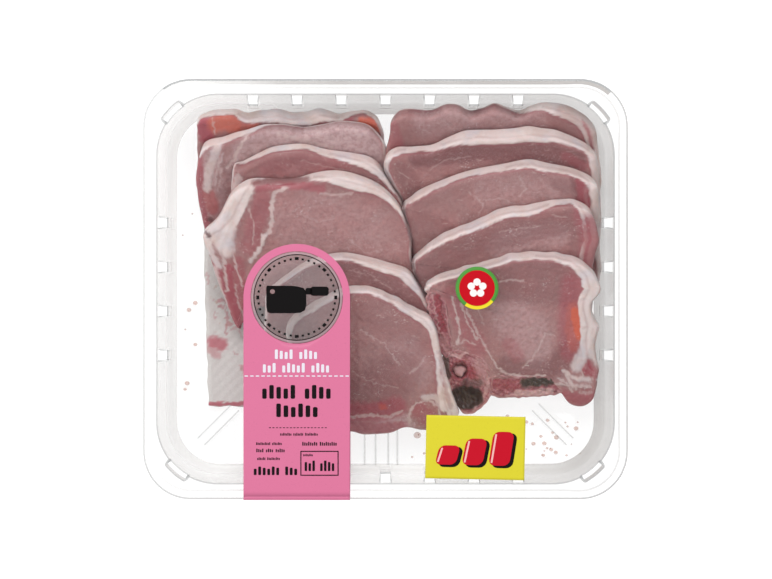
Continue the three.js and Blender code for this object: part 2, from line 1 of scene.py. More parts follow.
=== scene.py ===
"""Meat tray pack: eleven raw pork loin chops in two shingled rows in a clear tray, sealed with film under a
wrap-round price label and two stickers. Sizes are in millimetres until they go into a mesh."""
import math

import bpy
import numpy as np
from bpy.props import FloatProperty, FloatVectorProperty, IntProperty, PointerProperty
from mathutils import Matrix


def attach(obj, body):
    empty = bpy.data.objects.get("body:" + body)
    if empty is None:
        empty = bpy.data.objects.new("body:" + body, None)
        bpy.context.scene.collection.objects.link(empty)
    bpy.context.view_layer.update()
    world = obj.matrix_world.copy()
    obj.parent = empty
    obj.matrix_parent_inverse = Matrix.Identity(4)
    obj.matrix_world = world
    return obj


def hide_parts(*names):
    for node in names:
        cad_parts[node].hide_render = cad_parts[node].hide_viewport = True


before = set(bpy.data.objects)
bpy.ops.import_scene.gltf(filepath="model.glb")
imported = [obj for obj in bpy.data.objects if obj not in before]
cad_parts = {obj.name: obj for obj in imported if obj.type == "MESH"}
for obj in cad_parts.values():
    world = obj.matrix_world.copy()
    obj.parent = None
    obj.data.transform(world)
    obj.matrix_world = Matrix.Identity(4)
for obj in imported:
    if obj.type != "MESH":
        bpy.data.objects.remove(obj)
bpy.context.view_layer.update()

bl_info = {
    "name": "Meat tray pack",
    "version": (1, 0, 0),
    "blender": (4, 5, 0),
    "location": "View3D > Sidebar > Meat Pack",
    "description": "Builds a sealed tray of raw pork chops with its label, stickers and stage",
    "category": "Add Mesh",
}

MM = 0.001
# The pack is drawn round the middle of its rim, which lies this far behind the frame's origin
SET_BACK = 0.3
# The picture that the outlines were measured in: its width and middle in pixels, and mm to a pixel
PICTURE_WIDTH, PICTURE_MIDDLE, PER_PIXEL = 772, (385.5, 289), 0.5443

# The tray, as in its solids: rim, opening between the walls, ribs and corner pockets
RIM_HALF, RIM_RADIUS, RIM_Z = (132.0, 114.5), 26.0, 50.0
OPEN_HALF, OPEN_RADIUS = (124.15, 105.7), 33.0
POCKET_MIDDLES, POCKET_HALF, POCKET_OUT = (47, 51.1, 40.7, 43.5), 10, 3.5
DRAFT, FLOOR_Z, FILLET = 4.5, 2.1, 5.0
RIB_PITCH, SHELF_Z, RIB_DEPTH, RIB_LOW = 24.1, 45.0, 5.5, 2.6
LONG_RIBS, SHORT_RIBS = np.arange(-3, 4) * RIB_PITCH, np.arange(-1.5, 2) * RIB_PITCH
SHEET = 0.8
# Feet (x, y, half width, half depth), and the slanting ribs of the floor (x, y, half length, half width)
FOOT, FOOT_DEPTH = (94.0, 77.0, 14.0, 13.0), 1.3
FLOOR_RIB = (92.0, 74.5, 13.5, 2.6)
# How much shade is painted on the wall, as grey, by the bearing in degrees from the middle of the tray, clockwise
# from the back: much where meat stands close to it at the back and right, little at the left, where the light of the
# table comes past
WALL_PAINTED_SHADE = np.array([
    (-50, 0.04), (-40, 0.32), (-28, 0.68), (-16, 0.84), (0, 0.86), (22, 0.87), (43, 1.08), (48, 1.04), (53, 0.96),
    (60, 0.99), (66, 1.0), (82, 0.84), (93, 0.9), (104, 0.97), (116, 1.0), (133, 1.08), (139, 0.86), (150, 0.58),
    (169, 0.24), (184, 0.26), (205, 0.48), (220, 0.58), (232, 0.44), (250, 0.16), (270, 0.05), (300, 0.03)])

# The film, its inset from the rim's edge, its height and thickness
FILM_INSET, FILM_Z, FILM_SHEET = 1.4, 50.38, 0.08

# Label, window and stickers. A sticker's numbers are x, y, width, depth and turn, or x, y and radius.
LABEL_X, LABEL_TOP, LABEL_FOLD, LABEL_UNDER = -48.3, 24.5, -114.95, -58.0
LABEL_Z, UNDER_Z, PAPER = 51.05, 0.75, 0.1
WINDOW_Y = -4.6
FROST = (23.6, 24.75)
PRINT_Z, INK = 51.13, 0.02
SIZE_STICKER = (48.9, -86.3, 54.0, 34.5, -1.2)
ROUND_STICKER = (49.8, 0.5, 11.7)
TICKS, PETALS = 40, 5

# The label's print in pixels of the picture, as left, right, foot, head and the lengths of the words
WHITE_LINES = ((274, 318, 359, 349.5, (3, 2)), (262, 330, 372.5, 363, (2, 4, 2)))
BLACK_LINES = ((261, 332, 398.7, 385, (4, 3)), (275, 319, 417, 403.5, (5,)), (280, 318, 435.6, 432.8, (3, 2, 3)),
               (256, 282, 445, 442.2, (4, 2)), (256, 285, 452.2, 448.6, (3, 2, 3)), (257, 280, 460, 457.2, (2, 3)),
               (253, 298, 475, 466.5, (5, 2)), (302, 337, 445.6, 441.8, (3, 3)), (304, 335, 471, 460.5, (4, 3)),
               (303, 313, 456.2, 453.8, (1,)))
DASHES, DOTS, PRICE_BOX = (244.5, 349, 376.6, 375.4), (269, 327, 428.0, 427.3), (300.4, 338.6, 475.7, 450.8)

# Stage, in metres and watts: the camera's height above the rim, and lights as name, place, size and power
CAMERA_HEIGHT, TABLE_HALF, TABLE_GLOW, SURROUND = 4.0, 3, 0.9, 0.62
SOFTBOXES = (("back_softbox", (-0.25, 1.25, 1.5), 1.1, 17.0), ("left_softbox", (-1.4, -0.1, 1.2), 0.9, 7.0),
             ("right_softbox", (1.4, -0.3, 1.2), 0.9, 4.0))

# The pad's left, right, front and back edges, its underside and top, and the pitch of its quilting
PAD = (-99.8, -4.0, -64.6, 92.0, 2.4, 4.0)
DIMPLE_PITCH = 6

# Rows of chops. Each chop lies between two copies of its row's rising surface, a pitch apart in height.
ROWS = {
    "right": dict(pitch=13.5, low=-51, start=-62, slope=0.41, sag=9, peak=84, reach=72, floor=2.7, side=1,
                  bends=((20, 0.11), (46, 0.07), (69, 0.09), (88, 0.36))),
    "left": dict(pitch=12.5, low=-58.1, start=-77, slope=0.41, sag=8, peak=-36, reach=60, floor=4.3, side=-1,
                 bends=((63, 0.31), (82, 0.15), (92, 0.15))),
}
BEND_SOFTNESS = 6
TIP_THICKNESS = 4.5
LONGEST_CHOP = 79
CHOP_ROUNDING, BONE_ROUNDING, TOP_ROUNDING = 2.4, 1.5, 1.15
CHOP_STATIONS, BONE_STATIONS = 330, 200
BONE_LAYER, FRONT_LAYER, AT_BONES = 4, 5, "right_5"
# How far outlines are moved from where they were measured: the rows press on each other over the crevice, their
# far ends reach the ribs of the tray, back edges show further back and the sixth layer shows further to the front
PRESS, RIGHT_REACH, LEFT_REACH, BACK_REACH, FRONT_REACH = 1.8, 0.5, 1.2, 1.0, 2.2
# How far the meat runs on under the edges of the bones
UNDER_BONES = 1.6
# The crevice between the rows, from front to back as (y, x), and how close an outline may come to it
CREVICE_GAP = 1.1
CREVICE = np.array([
    (-80, 44), (-62, 40.3), (-53.5, 36.8), (-38, 32.8), (-23.5, 28.8), (-7.5, 23.3), (5.5, 17), (14, 14.9),
    (26, 14.3), (40, 10.6), (48, 9.3), (56, 4.2), (62, 1.2), (66.5, -1), (72, -0.2), (80, 0.6), (100, 0.6)])

# Chops, from the back of each row: (x, y, width of the fat edge) from the left end along the back. Those with a
# front given show all round; the others run on under the next chop.
CHOPS = [
    dict(name="right_1", row="right", layer=0, front_from=4, front_to=115,
         back=[(2.2, 84, 0), (4, 95, 0.8), (12, 98.6, 1.2), (24, 97.7, 1.2), (36, 101.6, 1.2),
               (48, 97.7, 1.2), (60, 101.4, 1.4), (72.3, 97.6, 2.4), (84, 102, 5), (95, 101.6, 8),
               (104, 98, 8.5), (111, 93, 8), (115.5, 84, 7)]),
    dict(name="right_2", row="right", layer=1, front_from=8, front_to=115,
         back=[(0.5, 65, 2.5), (5, 76.8, 5.5), (15, 78, 4.5), (27, 79.5, 4.5), (36, 84, 7), (46, 87, 9.2),
               (60, 87, 9), (78, 88.8, 9.8), (92.5, 87, 8), (103.5, 83, 6.5), (112.5, 77, 5), (116, 68, 4.5)]),
    dict(name="right_3", row="right", layer=2, front_from=18, front_to=115,
         back=[(10.8, 41, 1.6), (14, 49.5, 4), (18.5, 54.5, 5), (33, 60.5, 4.2), (46, 65, 4.2),
               (60, 67.7, 4.8), (76.5, 71, 5.5), (87, 69.5, 6), (105, 65, 5), (113.5, 60.5, 6.5),
               (116, 52, 8)]),
    dict(name="right_4", row="right", layer=3, front_from=31, front_to=110,
         back=[(16, 11, 1.4), (18.2, 18.5, 3.5), (24, 25.5, 5), (33, 31.5, 6), (47.5, 37, 6.2),
               (64.5, 44.5, 7), (78, 46.2, 7), (88, 48.3, 5), (102, 49.3, 3.5), (110, 44.5, 7),
               (114.5, 38, 8), (116.3, 27, 8), (113.6, 14, 8)]),
    dict(name="right_5", row="right", layer=4,
         back=[(23, 3, 3.5), (28.5, 8, 5), (42, 12, 5), (55, 15.5, 5), (66.5, 19, 5), (78, 20.3, 4.8),
               (94.5, 20, 6), (104.5, 17, 7), (111, 12, 8), (116.3, 5, 10), (117.2, -2, 11),
               (111.6, -9.5, 7), (117, -20, 11), (114.2, -31, 8), (116.8, -43, 8)],
         front=[(116, -51), (113, -62.3), (104, -65.4), (97.4, -59.5), (90, -49.2), (72, -48.2), (58, -47.8),
                (54, -39), (46, -35.5), (37.5, -33.5), (34.8, -23), (33, -11), (31, -2.6), (25, -2)]),
    dict(name="left_1", row="left", layer=0, front_from=-98, front_to=-4,
         back=[(-102, 86, 0), (-100, 95, 3), (-92, 98, 4), (-82, 98.4, 4.5), (-74, 96.8, 7),
               (-61, 98.8, 8.6), (-48, 96.6, 8.6), (-36, 98.8, 8.6), (-25, 96.2, 5), (-14, 98.2, 2.5),
               (-6, 96.2, 3), (-2, 90, 2), (-0.8, 81, 1.4)]),
    dict(name="left_2", row="left", layer=1, front_from=-94, front_to=-2,
         back=[(-102.5, 56, 0), (-101.5, 70, 0), (-98.5, 80, 4.5), (-88, 84, 4.5), (-79, 86.5, 4),
               (-70.5, 89, 2.5), (-60, 90.2, 1.4), (-44, 88.6, 1.2), (-33, 90.5, 1.2), (-22, 92, 1.2),
               (-14, 91.2, 1.2), (-7, 88.6, 1.2), (-2.6, 83, 1.2), (-1, 74, 1.2)]),
    dict(name="left_3", row="left", layer=2, front_from=-84, front_to=12,
         back=[(-84, 62.5, 0.8), (-78, 69.5, 2.6), (-66, 76, 3.4), (-58, 78.5, 3.8), (-48.5, 79.5, 4),
               (-40, 78.6, 4.2), (-26.5, 75.6, 5.5), (-10, 73, 8.2), (-3.8, 67, 7), (0.2, 62, 5),
               (3.2, 56, 3.6), (8.2, 48, 2)]),
    dict(name="left_4", row="left", layer=3, front_from=-74, front_to=21,
         back=[(-80, -24, 0), (-86.5, -10.5, 0), (-92, 4, 0), (-95.5, 17, 0), (-99.2, 30, 8),
               (-93, 37.5, 11), (-88.5, 46, 11.5), (-83.5, 54, 11), (-76, 59.6, 8), (-69, 60.6, 5),
               (-58, 60.4, 4), (-48.5, 60.8, 4), (-40, 63, 5), (-26.5, 65, 9), (-13, 61.6, 9.6),
               (-3, 56.8, 7), (5, 47.6, 4), (9.8, 38, 1.6), (13, 26, 1.2), (13.6, 14, 1.2)]),
    dict(name="left_5", row="left", layer=4, front_from=-62, front_to=33,
         back=[(-66, -6, 1.4), (-60, 3, 2.8), (-53.5, 8.5, 3.2), (-42, 16, 4.2), (-33, 18.5, 4.6),
               (-23.5, 20, 5), (-16.5, 19.2, 5.5), (-3, 16, 6.5), (9, 12, 7), (15.6, 5.5, 6.4),
               (19.8, -1, 4.4), (22.3, -7.5, 3.2), (25.6, -16, 2)]),
    dict(name="left_6", row="left", layer=5,
         back=[(-54, -30.5, 2.4), (-54.5, -20.5, 4), (-50, -13.5, 5), (-41, -8, 5), (-30, -2, 4.8),
               (-20, 1.7, 4.8), (-11, 2, 4.8), (-2, -0.5, 4.8), (7, -5, 5.6), (17, -10.5, 6.6),
               (24, -15.5, 7), (27.7, -23.5, 4.4), (29, -30, 3.8), (31.7, -38, 4.2), (35.8, -53.5, 7.5),
               (39, -62, 9.5), (40.6, -68, 8)],
         front=[(36, -74.5), (22, -76.3), (10.5, -74.6), (4, -77.6), (-8, -78.6), (-22, -77), (-37, -74.8),
                (-46.5, -67), (-51.5, -51)]),
]

# What shows on the cut faces: strokes of (kind, strength, width in mm, points). A red stroke is redder muscle, deep
# is darker lean, and painted shade where it runs just in front of a fat edge, pale is greyer and drier lean, seam is
# silver skin, glow is painted light, lean so thin that the light shines through it, dark is a dark spot, fat is fat
# away from the edge, and bare is where the fat is missing.
MARKS = {
    "right_1": [
        ("bare", 0.25, 12, [(98.2, 96.3), (107, 93.1), (112.4, 84.4)]),
        ("bare", 0.55, 2.6, [(107.5, 92), (111.3, 85.5), (113.5, 75.7)]),
        ("red", 0.9, 3.0, [(107.5, 92), (111.3, 85.5), (113.5, 75.7)]),
        ("red", 0.4, 9, [(3.5, 87.6), (6.8, 75.7)]),
        ("pale", 0.45, 16, [(24.2, 90.9), (51.4, 93.1), (78.7, 90.9)]),
        ("deep", 0.3, 15, [(13.3, 80), (46, 83.3), (78.7, 85.5), (100.4, 82.2)]),
        ("seam", 0.2, 0.8, [(29.7, 93.1), (36.2, 87.6), (46, 86.5)]),
    ],
    "right_2": [
        ("deep", 0.75, 9, [(17.7, 71.3), (35.1, 73.5), (56.9, 75.1), (84.1, 75.7), (104.8, 70.2)]),
        ("red", 0.35, 6, [(98.2, 72.4), (108, 66.9)]),
        ("deep", 0.45, 9, [(9, 64.8), (14.4, 56.1)]),
        ("seam", 0.35, 0.8, [(7.9, 63.7), (12.8, 60.4), (10.1, 56.1)]),
        ("seam", 0.3, 0.8, [(24.2, 64.8), (32.4, 70.2), (46, 72.4)]),
    ],
    "right_3": [
        ("deep", 0.8, 8, [(104.8, 59.3), (107.5, 52.8), (108.6, 46.3)]),
        ("red", 0.6, 7, [(106.4, 58.2), (108, 51.7), (109.1, 45.7)]),
        ("bare", 0.9, 5, [(108, 55.5), (109.7, 50.1), (110.2, 45.2)]),
        ("deep", 0.35, 9, [(95, 58.2), (104.8, 52.8)]),
        ("deep", 0.3, 12, [(18.8, 36.5), (29.7, 31)]),
        ("pale", 0.3, 16, [(56.9, 52.8), (78.7, 56.1), (95, 57.2)]),
        ("seam", 0.4, 0.8, [(44.9, 52.8), (53.6, 46.8), (51.4, 41.9)]),
        ("seam", 0.45, 0.8, [(73.2, 61.5), (76.5, 55), (72.7, 50.6)]),
        ("seam", 0.35, 0.7, [(53.6, 48.4), (62.3, 49.5), (69.9, 46.8)]),
        ("seam", 0.25, 0.7, [(84.1, 60.4), (88.4, 55), (95, 52.8)]),
    ],
    "right_4": [
        ("deep", 0.5, 11, [(21, 10.3), (40.6, 20.1), (62.3, 27.8), (84.1, 33.2), (98.2, 36.5)]),
        ("bare", 0.9, 21, [(114.6, 32.7), (115.7, 21.2), (114, 7.1)]),
        ("red", 0.5, 13, [(108, 40.8), (112.4, 26.7), (111.3, 9.3)]),
        ("deep", 0.4, 6, [(102.1, 45.2), (104.2, 31), (103.1, 18)]),
        ("pale", 0.35, 12, [(62.3, 23.4), (78.7, 27.8), (92.8, 29.9)]),
        ("seam", 0.4, 0.9, [(90.6, 40.8), (95, 39.2), (99.3, 39.2)]),
        ("seam", 0.3, 0.8, [(62.3, 31), (73.2, 33.2), (84.1, 34.3)]),
    ],
    "right_5": [
        ("deep", 0.5, 13, [(62.3, 10.3), (78.7, 12), (96.1, 9.3)]),
        ("deep", 0.6, 11, [(66.7, -43), (78.7, -45.7), (92.8, -43.5), (100.4, -34.3)]),
        ("red", 0.5, 15, [(102.1, 2.2), (101, -16.9), (102.1, -33.2)]),
        ("pale", 0.42, 20, [(68.9, -15.8), (77.6, -22.3), (79.7, -33.2)]),
        ("deep", 0.45, 13, [(64.5, 0.5), (78.7, -0.5), (92.8, -1.6)]),
        ("red", 0.4, 13, [(36.2, -3.8), (42.7, -18), (50.3, -32.1)]),
        ("red", 0.3, 9, [(67.8, -29.9), (72.1, -36.5)]),
        ("seam", 0.75, 1.2, [(43.8, -11.4), (47.6, -18.5), (51.4, -26.1), (54.7, -31.6), (58.5, -38.6),
                             (61.8, -43.5), (65.6, -46.3), (78.1, -47.9), (87.4, -47.4)]),
        ("seam", 0.9, 1.2, [(35.7, -3.8), (38.9, -14.7), (40.6, -22.3), (38.9, -31)]),
        ("seam", 0.75, 1.0, [(41.1, -7.6), (44.9, -18.5), (50.3, -27.8)]),
        ("seam", 0.6, 1.0, [(38.9, -31), (43.8, -27.8), (49.3, -31)]),
        ("seam", 0.45, 1.1, [(87.4, -24.5), (84.6, -30.5), (80.8, -37.6), (75.4, -43)]),
        ("seam", 0.35, 0.9, [(87.9, -24.5), (92.8, -25.6)]),
        ("seam", 0.5, 0.9, [(62.3, 3.8), (67.8, 4.9), (75.4, 4.4)]),
        ("seam", 0.35, 0.8, [(46, -6), (51.4, -12.5), (53.6, -20.1)]),
        ("glow", 1.0, 4.6, [(103.7, -12.5), (104.2, -18), (106.4, -25.6)]),
        ("glow", 0.3, 6, [(102.6, -10.3), (101.5, -22.3), (103.7, -31)]),
        ("deep", 0.5, 9, [(98.2, 4.9), (100.4, -6)]),
        ("deep", 0.4, 12, [(65.6, 9.3), (84.1, 11.4)]),
        ("red", 0.8, 7.5, [(110.2, -43), (112.9, -45.2)]),
        ("bare", 0.9, 8, [(111.3, -41.9), (114.6, -46.3)]),
        ("fat", 0.85, 8, [(112.4, -26.7), (109.1, -34.3), (104.8, -41.9)]),
        ("red", 0.65, 8, [(110.2, -41.9), (114.6, -46.3)]),
        ("red", 0.6, 8, [(98.2, -58.2), (105.9, -60.4), (112.4, -58.2)]),
        ("pale", 0.4, 6, [(96.1, -48.4), (103.7, -50.6), (110.2, -51.2)]),
        ("fat", 0.75, 2.4, [(97.7, -44.6), (101.5, -47.9), (105.9, -49.5), (111.3, -49.5)]),
        ("fat", 0.5, 1.8, [(92.8, -51.7), (98.2, -52.8), (104.8, -53.3), (112.4, -53.3)]),
        ("fat", 0.6, 1.5, [(98.8, -46.3), (101, -50.6), (104.2, -55)]),
        ("fat", 0.5, 1.3, [(95, -49.5), (99.3, -51.2), (102.6, -56.1)]),
        ("seam", 0.7, 1.4, [(109.1, -39.7), (107, -44.1), (108.6, -48.4), (113.5, -49.5)]),
        ("seam", 0.6, 1.2, [(105.9, -56.1), (110.2, -57.2), (113.5, -56.1)]),
    ],
    "left_1": [
        ("glow", 0.7, 7.5, [(-92.8, 89.8), (-86.8, 91.4), (-82.5, 89.3)]),
        ("glow", 0.5, 3, [(-81.4, 88.2), (-75.9, 88.2), (-70.5, 89.3)]),
        ("red", 0.9, 10, [(-101, 93.1), (-99.3, 87.6), (-97.7, 83.3)]),
        ("pale", 0.6, 8, [(-101.5, 94.2), (-99.9, 85.5)]),
        ("glow", 0.9, 4.5, [(-12.8, 91.4), (-8.4, 91.4), (-3.5, 88.7)]),
        ("pale", 0.4, 6, [(-12.8, 91.4), (-3.5, 88.7)]),
        # Painted shadow along the lower boundary of the fat edge, laid on as red
        ("red", 0.6, 4.4, [(-56.3, 86), (-46.5, 86.5), (-30.2, 89.3), (-19.3, 92)]),
        ("bare", 0.4, 2, [(-54.7, 87.4), (-46.5, 87.4), (-32.9, 88.7)]),
        ("seam", 0.6, 1.2, [(-94.4, 93.1), (-93.3, 85.5)]),
    ],
    "left_2": [
        ("seam", 0.85, 1.8, [(-73.8, 86.5), (-79.2, 78.4), (-82.5, 71.8), (-86.3, 66.4)]),
        ("pale", 1.0, 28, [(-52, 82.2), (-30.2, 81.6), (-12.8, 74.6)]),
        ("pale", 0.8, 15, [(-67.2, 81.1), (-77, 72.4), (-80.3, 64.8)]),
        ("pale", 0.75, 12, [(-96.6, 75.7), (-93.9, 59.3), (-95, 45.2)]),
        ("seam", 0.45, 2.2, [(-58.5, 84.4), (-50.9, 82.7), (-41.1, 80), (-29.1, 77.3)]),
        ("red", 0.7, 6, [(-102.1, 80), (-102.1, 64.8), (-101.5, 50.6), (-98.8, 35.4)]),
        ("pale", 0.5, 6, [(-102.1, 80), (-102.1, 64.8), (-101.5, 50.6), (-98.8, 35.4)]),
        ("fat", 0.7, 5.0, [(-90.6, 80.6), (-93.9, 72.4), (-96.6, 63.7), (-97.7, 55)]),
        ("fat", 0.35, 1.2, [(-88.4, 74.6), (-91.7, 65.9), (-93.3, 56.1)]),
        ("seam", 0.5, 1.2, [(-92.3, 75.7), (-90.1, 63.7), (-91.7, 53.9)]),
        ("red", 0.55, 8, [(-96.6, 50.6), (-94.4, 44.1)]),
        ("glow", 0.2, 6, [(-96.6, 52.3), (-95, 45.2)]),
        ("deep", 0.35, 8, [(-86.8, 65.9), (-87.9, 57.2), (-90.6, 45.7), (-91.7, 39.7)]),
        ("dark", 0.7, 3.2, [(-96.6, 38.1), (-95, 37)]),
        ("dark", 0.55, 2.6, [(-96.1, 29.9), (-95.5, 28.3)]),
        ("red", 0.5, 5, [(-9.5, 70.2), (-5.2, 61.5)]),
        ("seam", 0.3, 0.8, [(-52, 83.3), (-35.7, 82.2), (-22.6, 80)]),
    ],
    "left_3": [
        ("deep", 0.3, 10, [(-75.9, 61.5), (-67.2, 68), (-52, 72.9), (-30.2, 71.3), (-8.4, 61.5)]),
        ("red", 0.25, 14, [(-62.9, 65.9), (-46.5, 68), (-24.8, 65.9)]),
        ("fat", 0.5, 5, [(-80.3, 60.4), (-82.5, 52.8), (-86.8, 45.2)]),
        ("seam", 0.3, 0.7, [(-46.5, 70.2), (-32.4, 66.9), (-21.5, 64.8)]),
    ],
    "left_4": [
        ("bare", 0.9, 5.5, [(-70.5, 57.2), (-57.4, 59.3), (-43.3, 58.8)]),
        ("fat", 1.0, 11.5, [(-77, 53.9), (-80.8, 47.4), (-84.6, 40.8), (-87.4, 31.6), (-87.9, 24.5)]),
        ("dark", 0.8, 2.6, [(-98.2, 31.6), (-96.6, 28.8)]),
        ("fat", 0.95, 9, [(-93.3, 31), (-90.1, 25.6), (-86.8, 21.2)]),
        ("fat", 0.8, 4, [(-97.2, 25.6), (-94.4, 18), (-91.2, 12.5)]),
        ("red", 0.6, 5, [(-69.4, 54.4), (-56.3, 56.6), (-44.4, 56.1), (-34.6, 54.4)]),
        ("glow", 0.35, 5, [(-8.4, 57.2), (-0.8, 53.9)]),
        ("red", 0.8, 6, [(-85.7, 11.4), (-85.2, -0.5), (-82.5, -10.3)]),
        ("red", 0.7, 6, [(-92.3, 12.5), (-90.1, 2.7), (-85.7, -9.3)]),
        ("red", 0.75, 7, [(-82.5, -10.3), (-81.4, -18), (-79.2, -25.6)]),
        ("red", 0.5, 7, [(-80.3, 14.7), (-79.2, -0.5), (-77.6, -12.5)]),
        ("seam", 0.95, 1.6, [(-89, 20.1), (-87.9, 9.3), (-86.8, -0.5)]),
        ("seam", 0.85, 1.3, [(-83.6, 20.1), (-81.4, 10.3), (-78.1, 1.6)]),
        ("seam", 0.7, 1.2, [(-82.5, 2.7), (-81.4, -6), (-78.1, -14.7)]),
        ("fat", 0.6, 3, [(-93.3, 11.4), (-90.6, 0.5), (-86.8, -12.5)]),
        ("red", 0.4, 12, [(-66.7, 48.4), (-70.5, 36.5), (-73.8, 23.4)]),
        ("deep", 0.35, 8, [(-67.2, 45.2), (-70.5, 33.2)]),
        ("seam", 1.0, 2.2, [(-54.2, 55), (-60.7, 52.3), (-62.3, 44.6), (-61.8, 38.1), (-63.4, 31), (-66.7, 28.8)]),
        ("fat", 0.9, 2.6, [(-66.1, 29.4), (-68.3, 22.3), (-73.8, 15.2)]),
        ("seam", 0.55, 0.9, [(-74.8, 44.1), (-71.6, 34.3), (-72.7, 24.5)]),
        ("pale", 0.22, 40, [(-41.1, 36.5), (-19.3, 26.7)]),
        ("seam", 0.5, 1.5, [(-35.7, 52.3), (-26.9, 51.2), (-18.2, 52.3)]),
        ("seam", 0.3, 0.8, [(-46.5, 40.8), (-36.7, 36.5), (-28, 38.6)]),
        ("seam", 0.35, 0.8, [(-19.3, 26.7), (-10.6, 19.6), (-1.9, 21.2)]),
        ("seam", 0.25, 0.6, [(-52, 14.7), (-43.3, 11.4), (-36.7, 14.7)]),
    ],
    "left_5": [
        ("deep", 0.6, 12, [(-22, 11.4), (-8.4, 9.3), (5.7, 2.7), (16.6, -6)]),
        ("seam", 0.3, 0.8, [(-19.3, 10.3), (-7.3, 7.1), (3.5, -0.5)]),
    ],
    "left_6": [
        ("deep", 0.45, 22, [(7.9, -45.2), (-3, -56.1), (-16.1, -58.2)]),
        ("deep", 0.3, 14, [(-10.6, -11.4), (3.5, -18), (16.6, -29.9)]),
        ("red", 0.7, 13, [(-18.2, -68), (-5.2, -68), (5.7, -64.8)]),
        ("red", 0.65, 8, [(-19.3, -75.7), (-3, -76.7), (9, -75.7)]),
        ("pale", 1.0, 11, [(-18.2, -75.1), (-4.1, -75.7), (9, -74.6)]),
        ("bare", 0.5, 2.8, [(29.7, -34.3), (31.3, -45.2), (33.5, -57.2), (35.7, -64.8)]),
        ("seam", 0.7, 1.5, [(-19.3, -70.2), (-7.3, -69.1), (1.9, -70.2), (9, -66.9)]),
        ("red", 0.5, 3, [(30.2, -47.4), (31.8, -56.1), (32.9, -63.7)]),
        ("red", 0.5, 11, [(18.8, -66.9), (23.1, -70.2)]),
        ("seam", 0.85, 1.3, [(12.8, -73.5), (13.3, -66.9), (16.6, -62.6), (23.1, -61), (28.6, -63.7), (30.2, -70.2)]),
        ("fat", 0.7, 3.4, [(21, -59.3), (27.5, -59.3), (31.8, -65.9)]),
        ("glow", 0.45, 2.6, [(-2.4, -64.2), (-0.3, -64.8)]),
        ("red", 1.0, 3.4, [(-2.4, -63.1), (-0.3, -64.8)]),
        ("seam", 0.4, 0.8, [(-13.9, -22.3), (-0.8, -29.9), (7.9, -41.9)]),
        ("seam", 0.45, 0.9, [(13.3, -46.3), (18.8, -41.9), (22, -36.5)]),
        ("seam", 0.3, 0.7, [(-18.2, -45.2), (-6.3, -51.7), (6.8, -53.9)]),
        ("pale", 0.3, 14, [(10.1, -33.2), (17.7, -45.2)]),
    ],
}

BONES = {
    "feather_bone": [(23.6, -2.8), (30.4, -3.4), (32.6, -11), (34.2, -23), (36.4, -33.4), (32.6, -36.6), (29, -29),
                     (26.4, -19), (24, -10)],
    "vertebra": [(31.6, -38.4), (36.8, -34.2), (46, -36), (53.6, -39.6), (57.4, -48.4), (57, -57.6),
                 (50.4, -65.8), (43.2, -66.8), (37.2, -57), (33.5, -46.5)],
    "rib_bone": [(59, -48.4), (74, -48.8), (89.6, -49.8), (96.2, -57.4), (89, -60), (66, -61.4), (58.4, -59.4),
                 (57.9, -52.4)],
}
CORD, CORD_RADIUS = (40.6, -44.6), 3.3
HOLLOW, HOLLOW_DEPTH = (44.4, -59.6), 6

# The same for the bones, as (channel, strength, width, points): 0 is pale bone, 1 red marrow, 3 dark marks and
# painted shade
BONE_MARKS = {
    "feather_bone": [
        (1, 0.95, 4.2, [(27.5, 0.5), (29.7, -11.4), (31.8, -25)]),
        (1, 0.5, 4, [(31.3, -23.9), (33.5, -33.2)]),
        (0, 0.35, 5, [(31.3, -25.6), (33.5, -33.2)]),
        (0, 0.45, 1.0, [(24.8, -1.6), (27.5, -14.2), (30.2, -27.8)]),
        (3, 0.4, 0.8, [(29.7, -3.8), (31.3, -15.8)]),
    ],
    "vertebra": [
        (0, 0.85, 2.2, [(35.1, -35.9), (40.6, -37), (44.9, -34.3), (49.3, -32.1)]),
        (0, 0.5, 1.6, [(50.3, -33.2), (53.6, -38.6), (55.2, -45.2)]),
        (0, 0.4, 8, [(51.4, -40.8), (53.6, -49.5)]),
        (1, 0.9, 7, [(44.9, -45.2), (50.3, -47.4)]),
        # Painted shadow between the bone and the fat of the chop beside it
        (3, 0.85, 3.5, [(32.9, -36.5), (33.5, -41.9), (34.6, -48.4)]),
        (3, 0.55, 5, [(43.8, -51.7), (51.4, -51.2)]),
        (0, 0.65, 2.2, [(56.3, -47.4), (55.8, -53.9), (53.6, -60.4), (48.2, -65.9)]),
    ],
    "rib_bone": [
        (1, 0.6, 7, [(59.1, -51.7), (71, -52.8)]),
        (3, 1.0, 6.2, [(76.5, -51.7), (84.6, -50.6), (92.8, -49.5)]),
        (0, 0.85, 4.2, [(72.1, -57.2), (80.8, -57.2), (90.6, -56.1)]),
        (0, 0.6, 1.2, [(58.5, -48.4), (61.8, -46.3)]),
    ],
}

# Stains on the absorbent pad, as (strength, width, points)
PAD_STAINS = [
    (0.75, 8.5, [(-95, -29.4), (-90.6, -30.5)]),
    (0.45, 5, [(-96.6, -33.2), (-92.8, -36.5)]),
    (0.8, 2.8, [(-99.3, -63.4), (-89, -63.4), (-76.5, -63.1)]),
    (0.45, 1.2, [(-89, -6), (-86.8, -15.8), (-87.9, -24.5)]),
    (0.35, 1.0, [(-81.4, -18), (-79.2, -26.7)]),
    (0.35, 1.4, [(-98.2, 9.3), (-97.7, 2.7)]),
    (0.4, 0.9, [(-94.4, -12.5), (-93.9, -15.8)]),
    (0.4, 0.8, [(-84.1, -34.3), (-81.9, -36.5)]),
    (0.5, 3.0, [(-79.2, -43), (-77, -45.7)]),
]


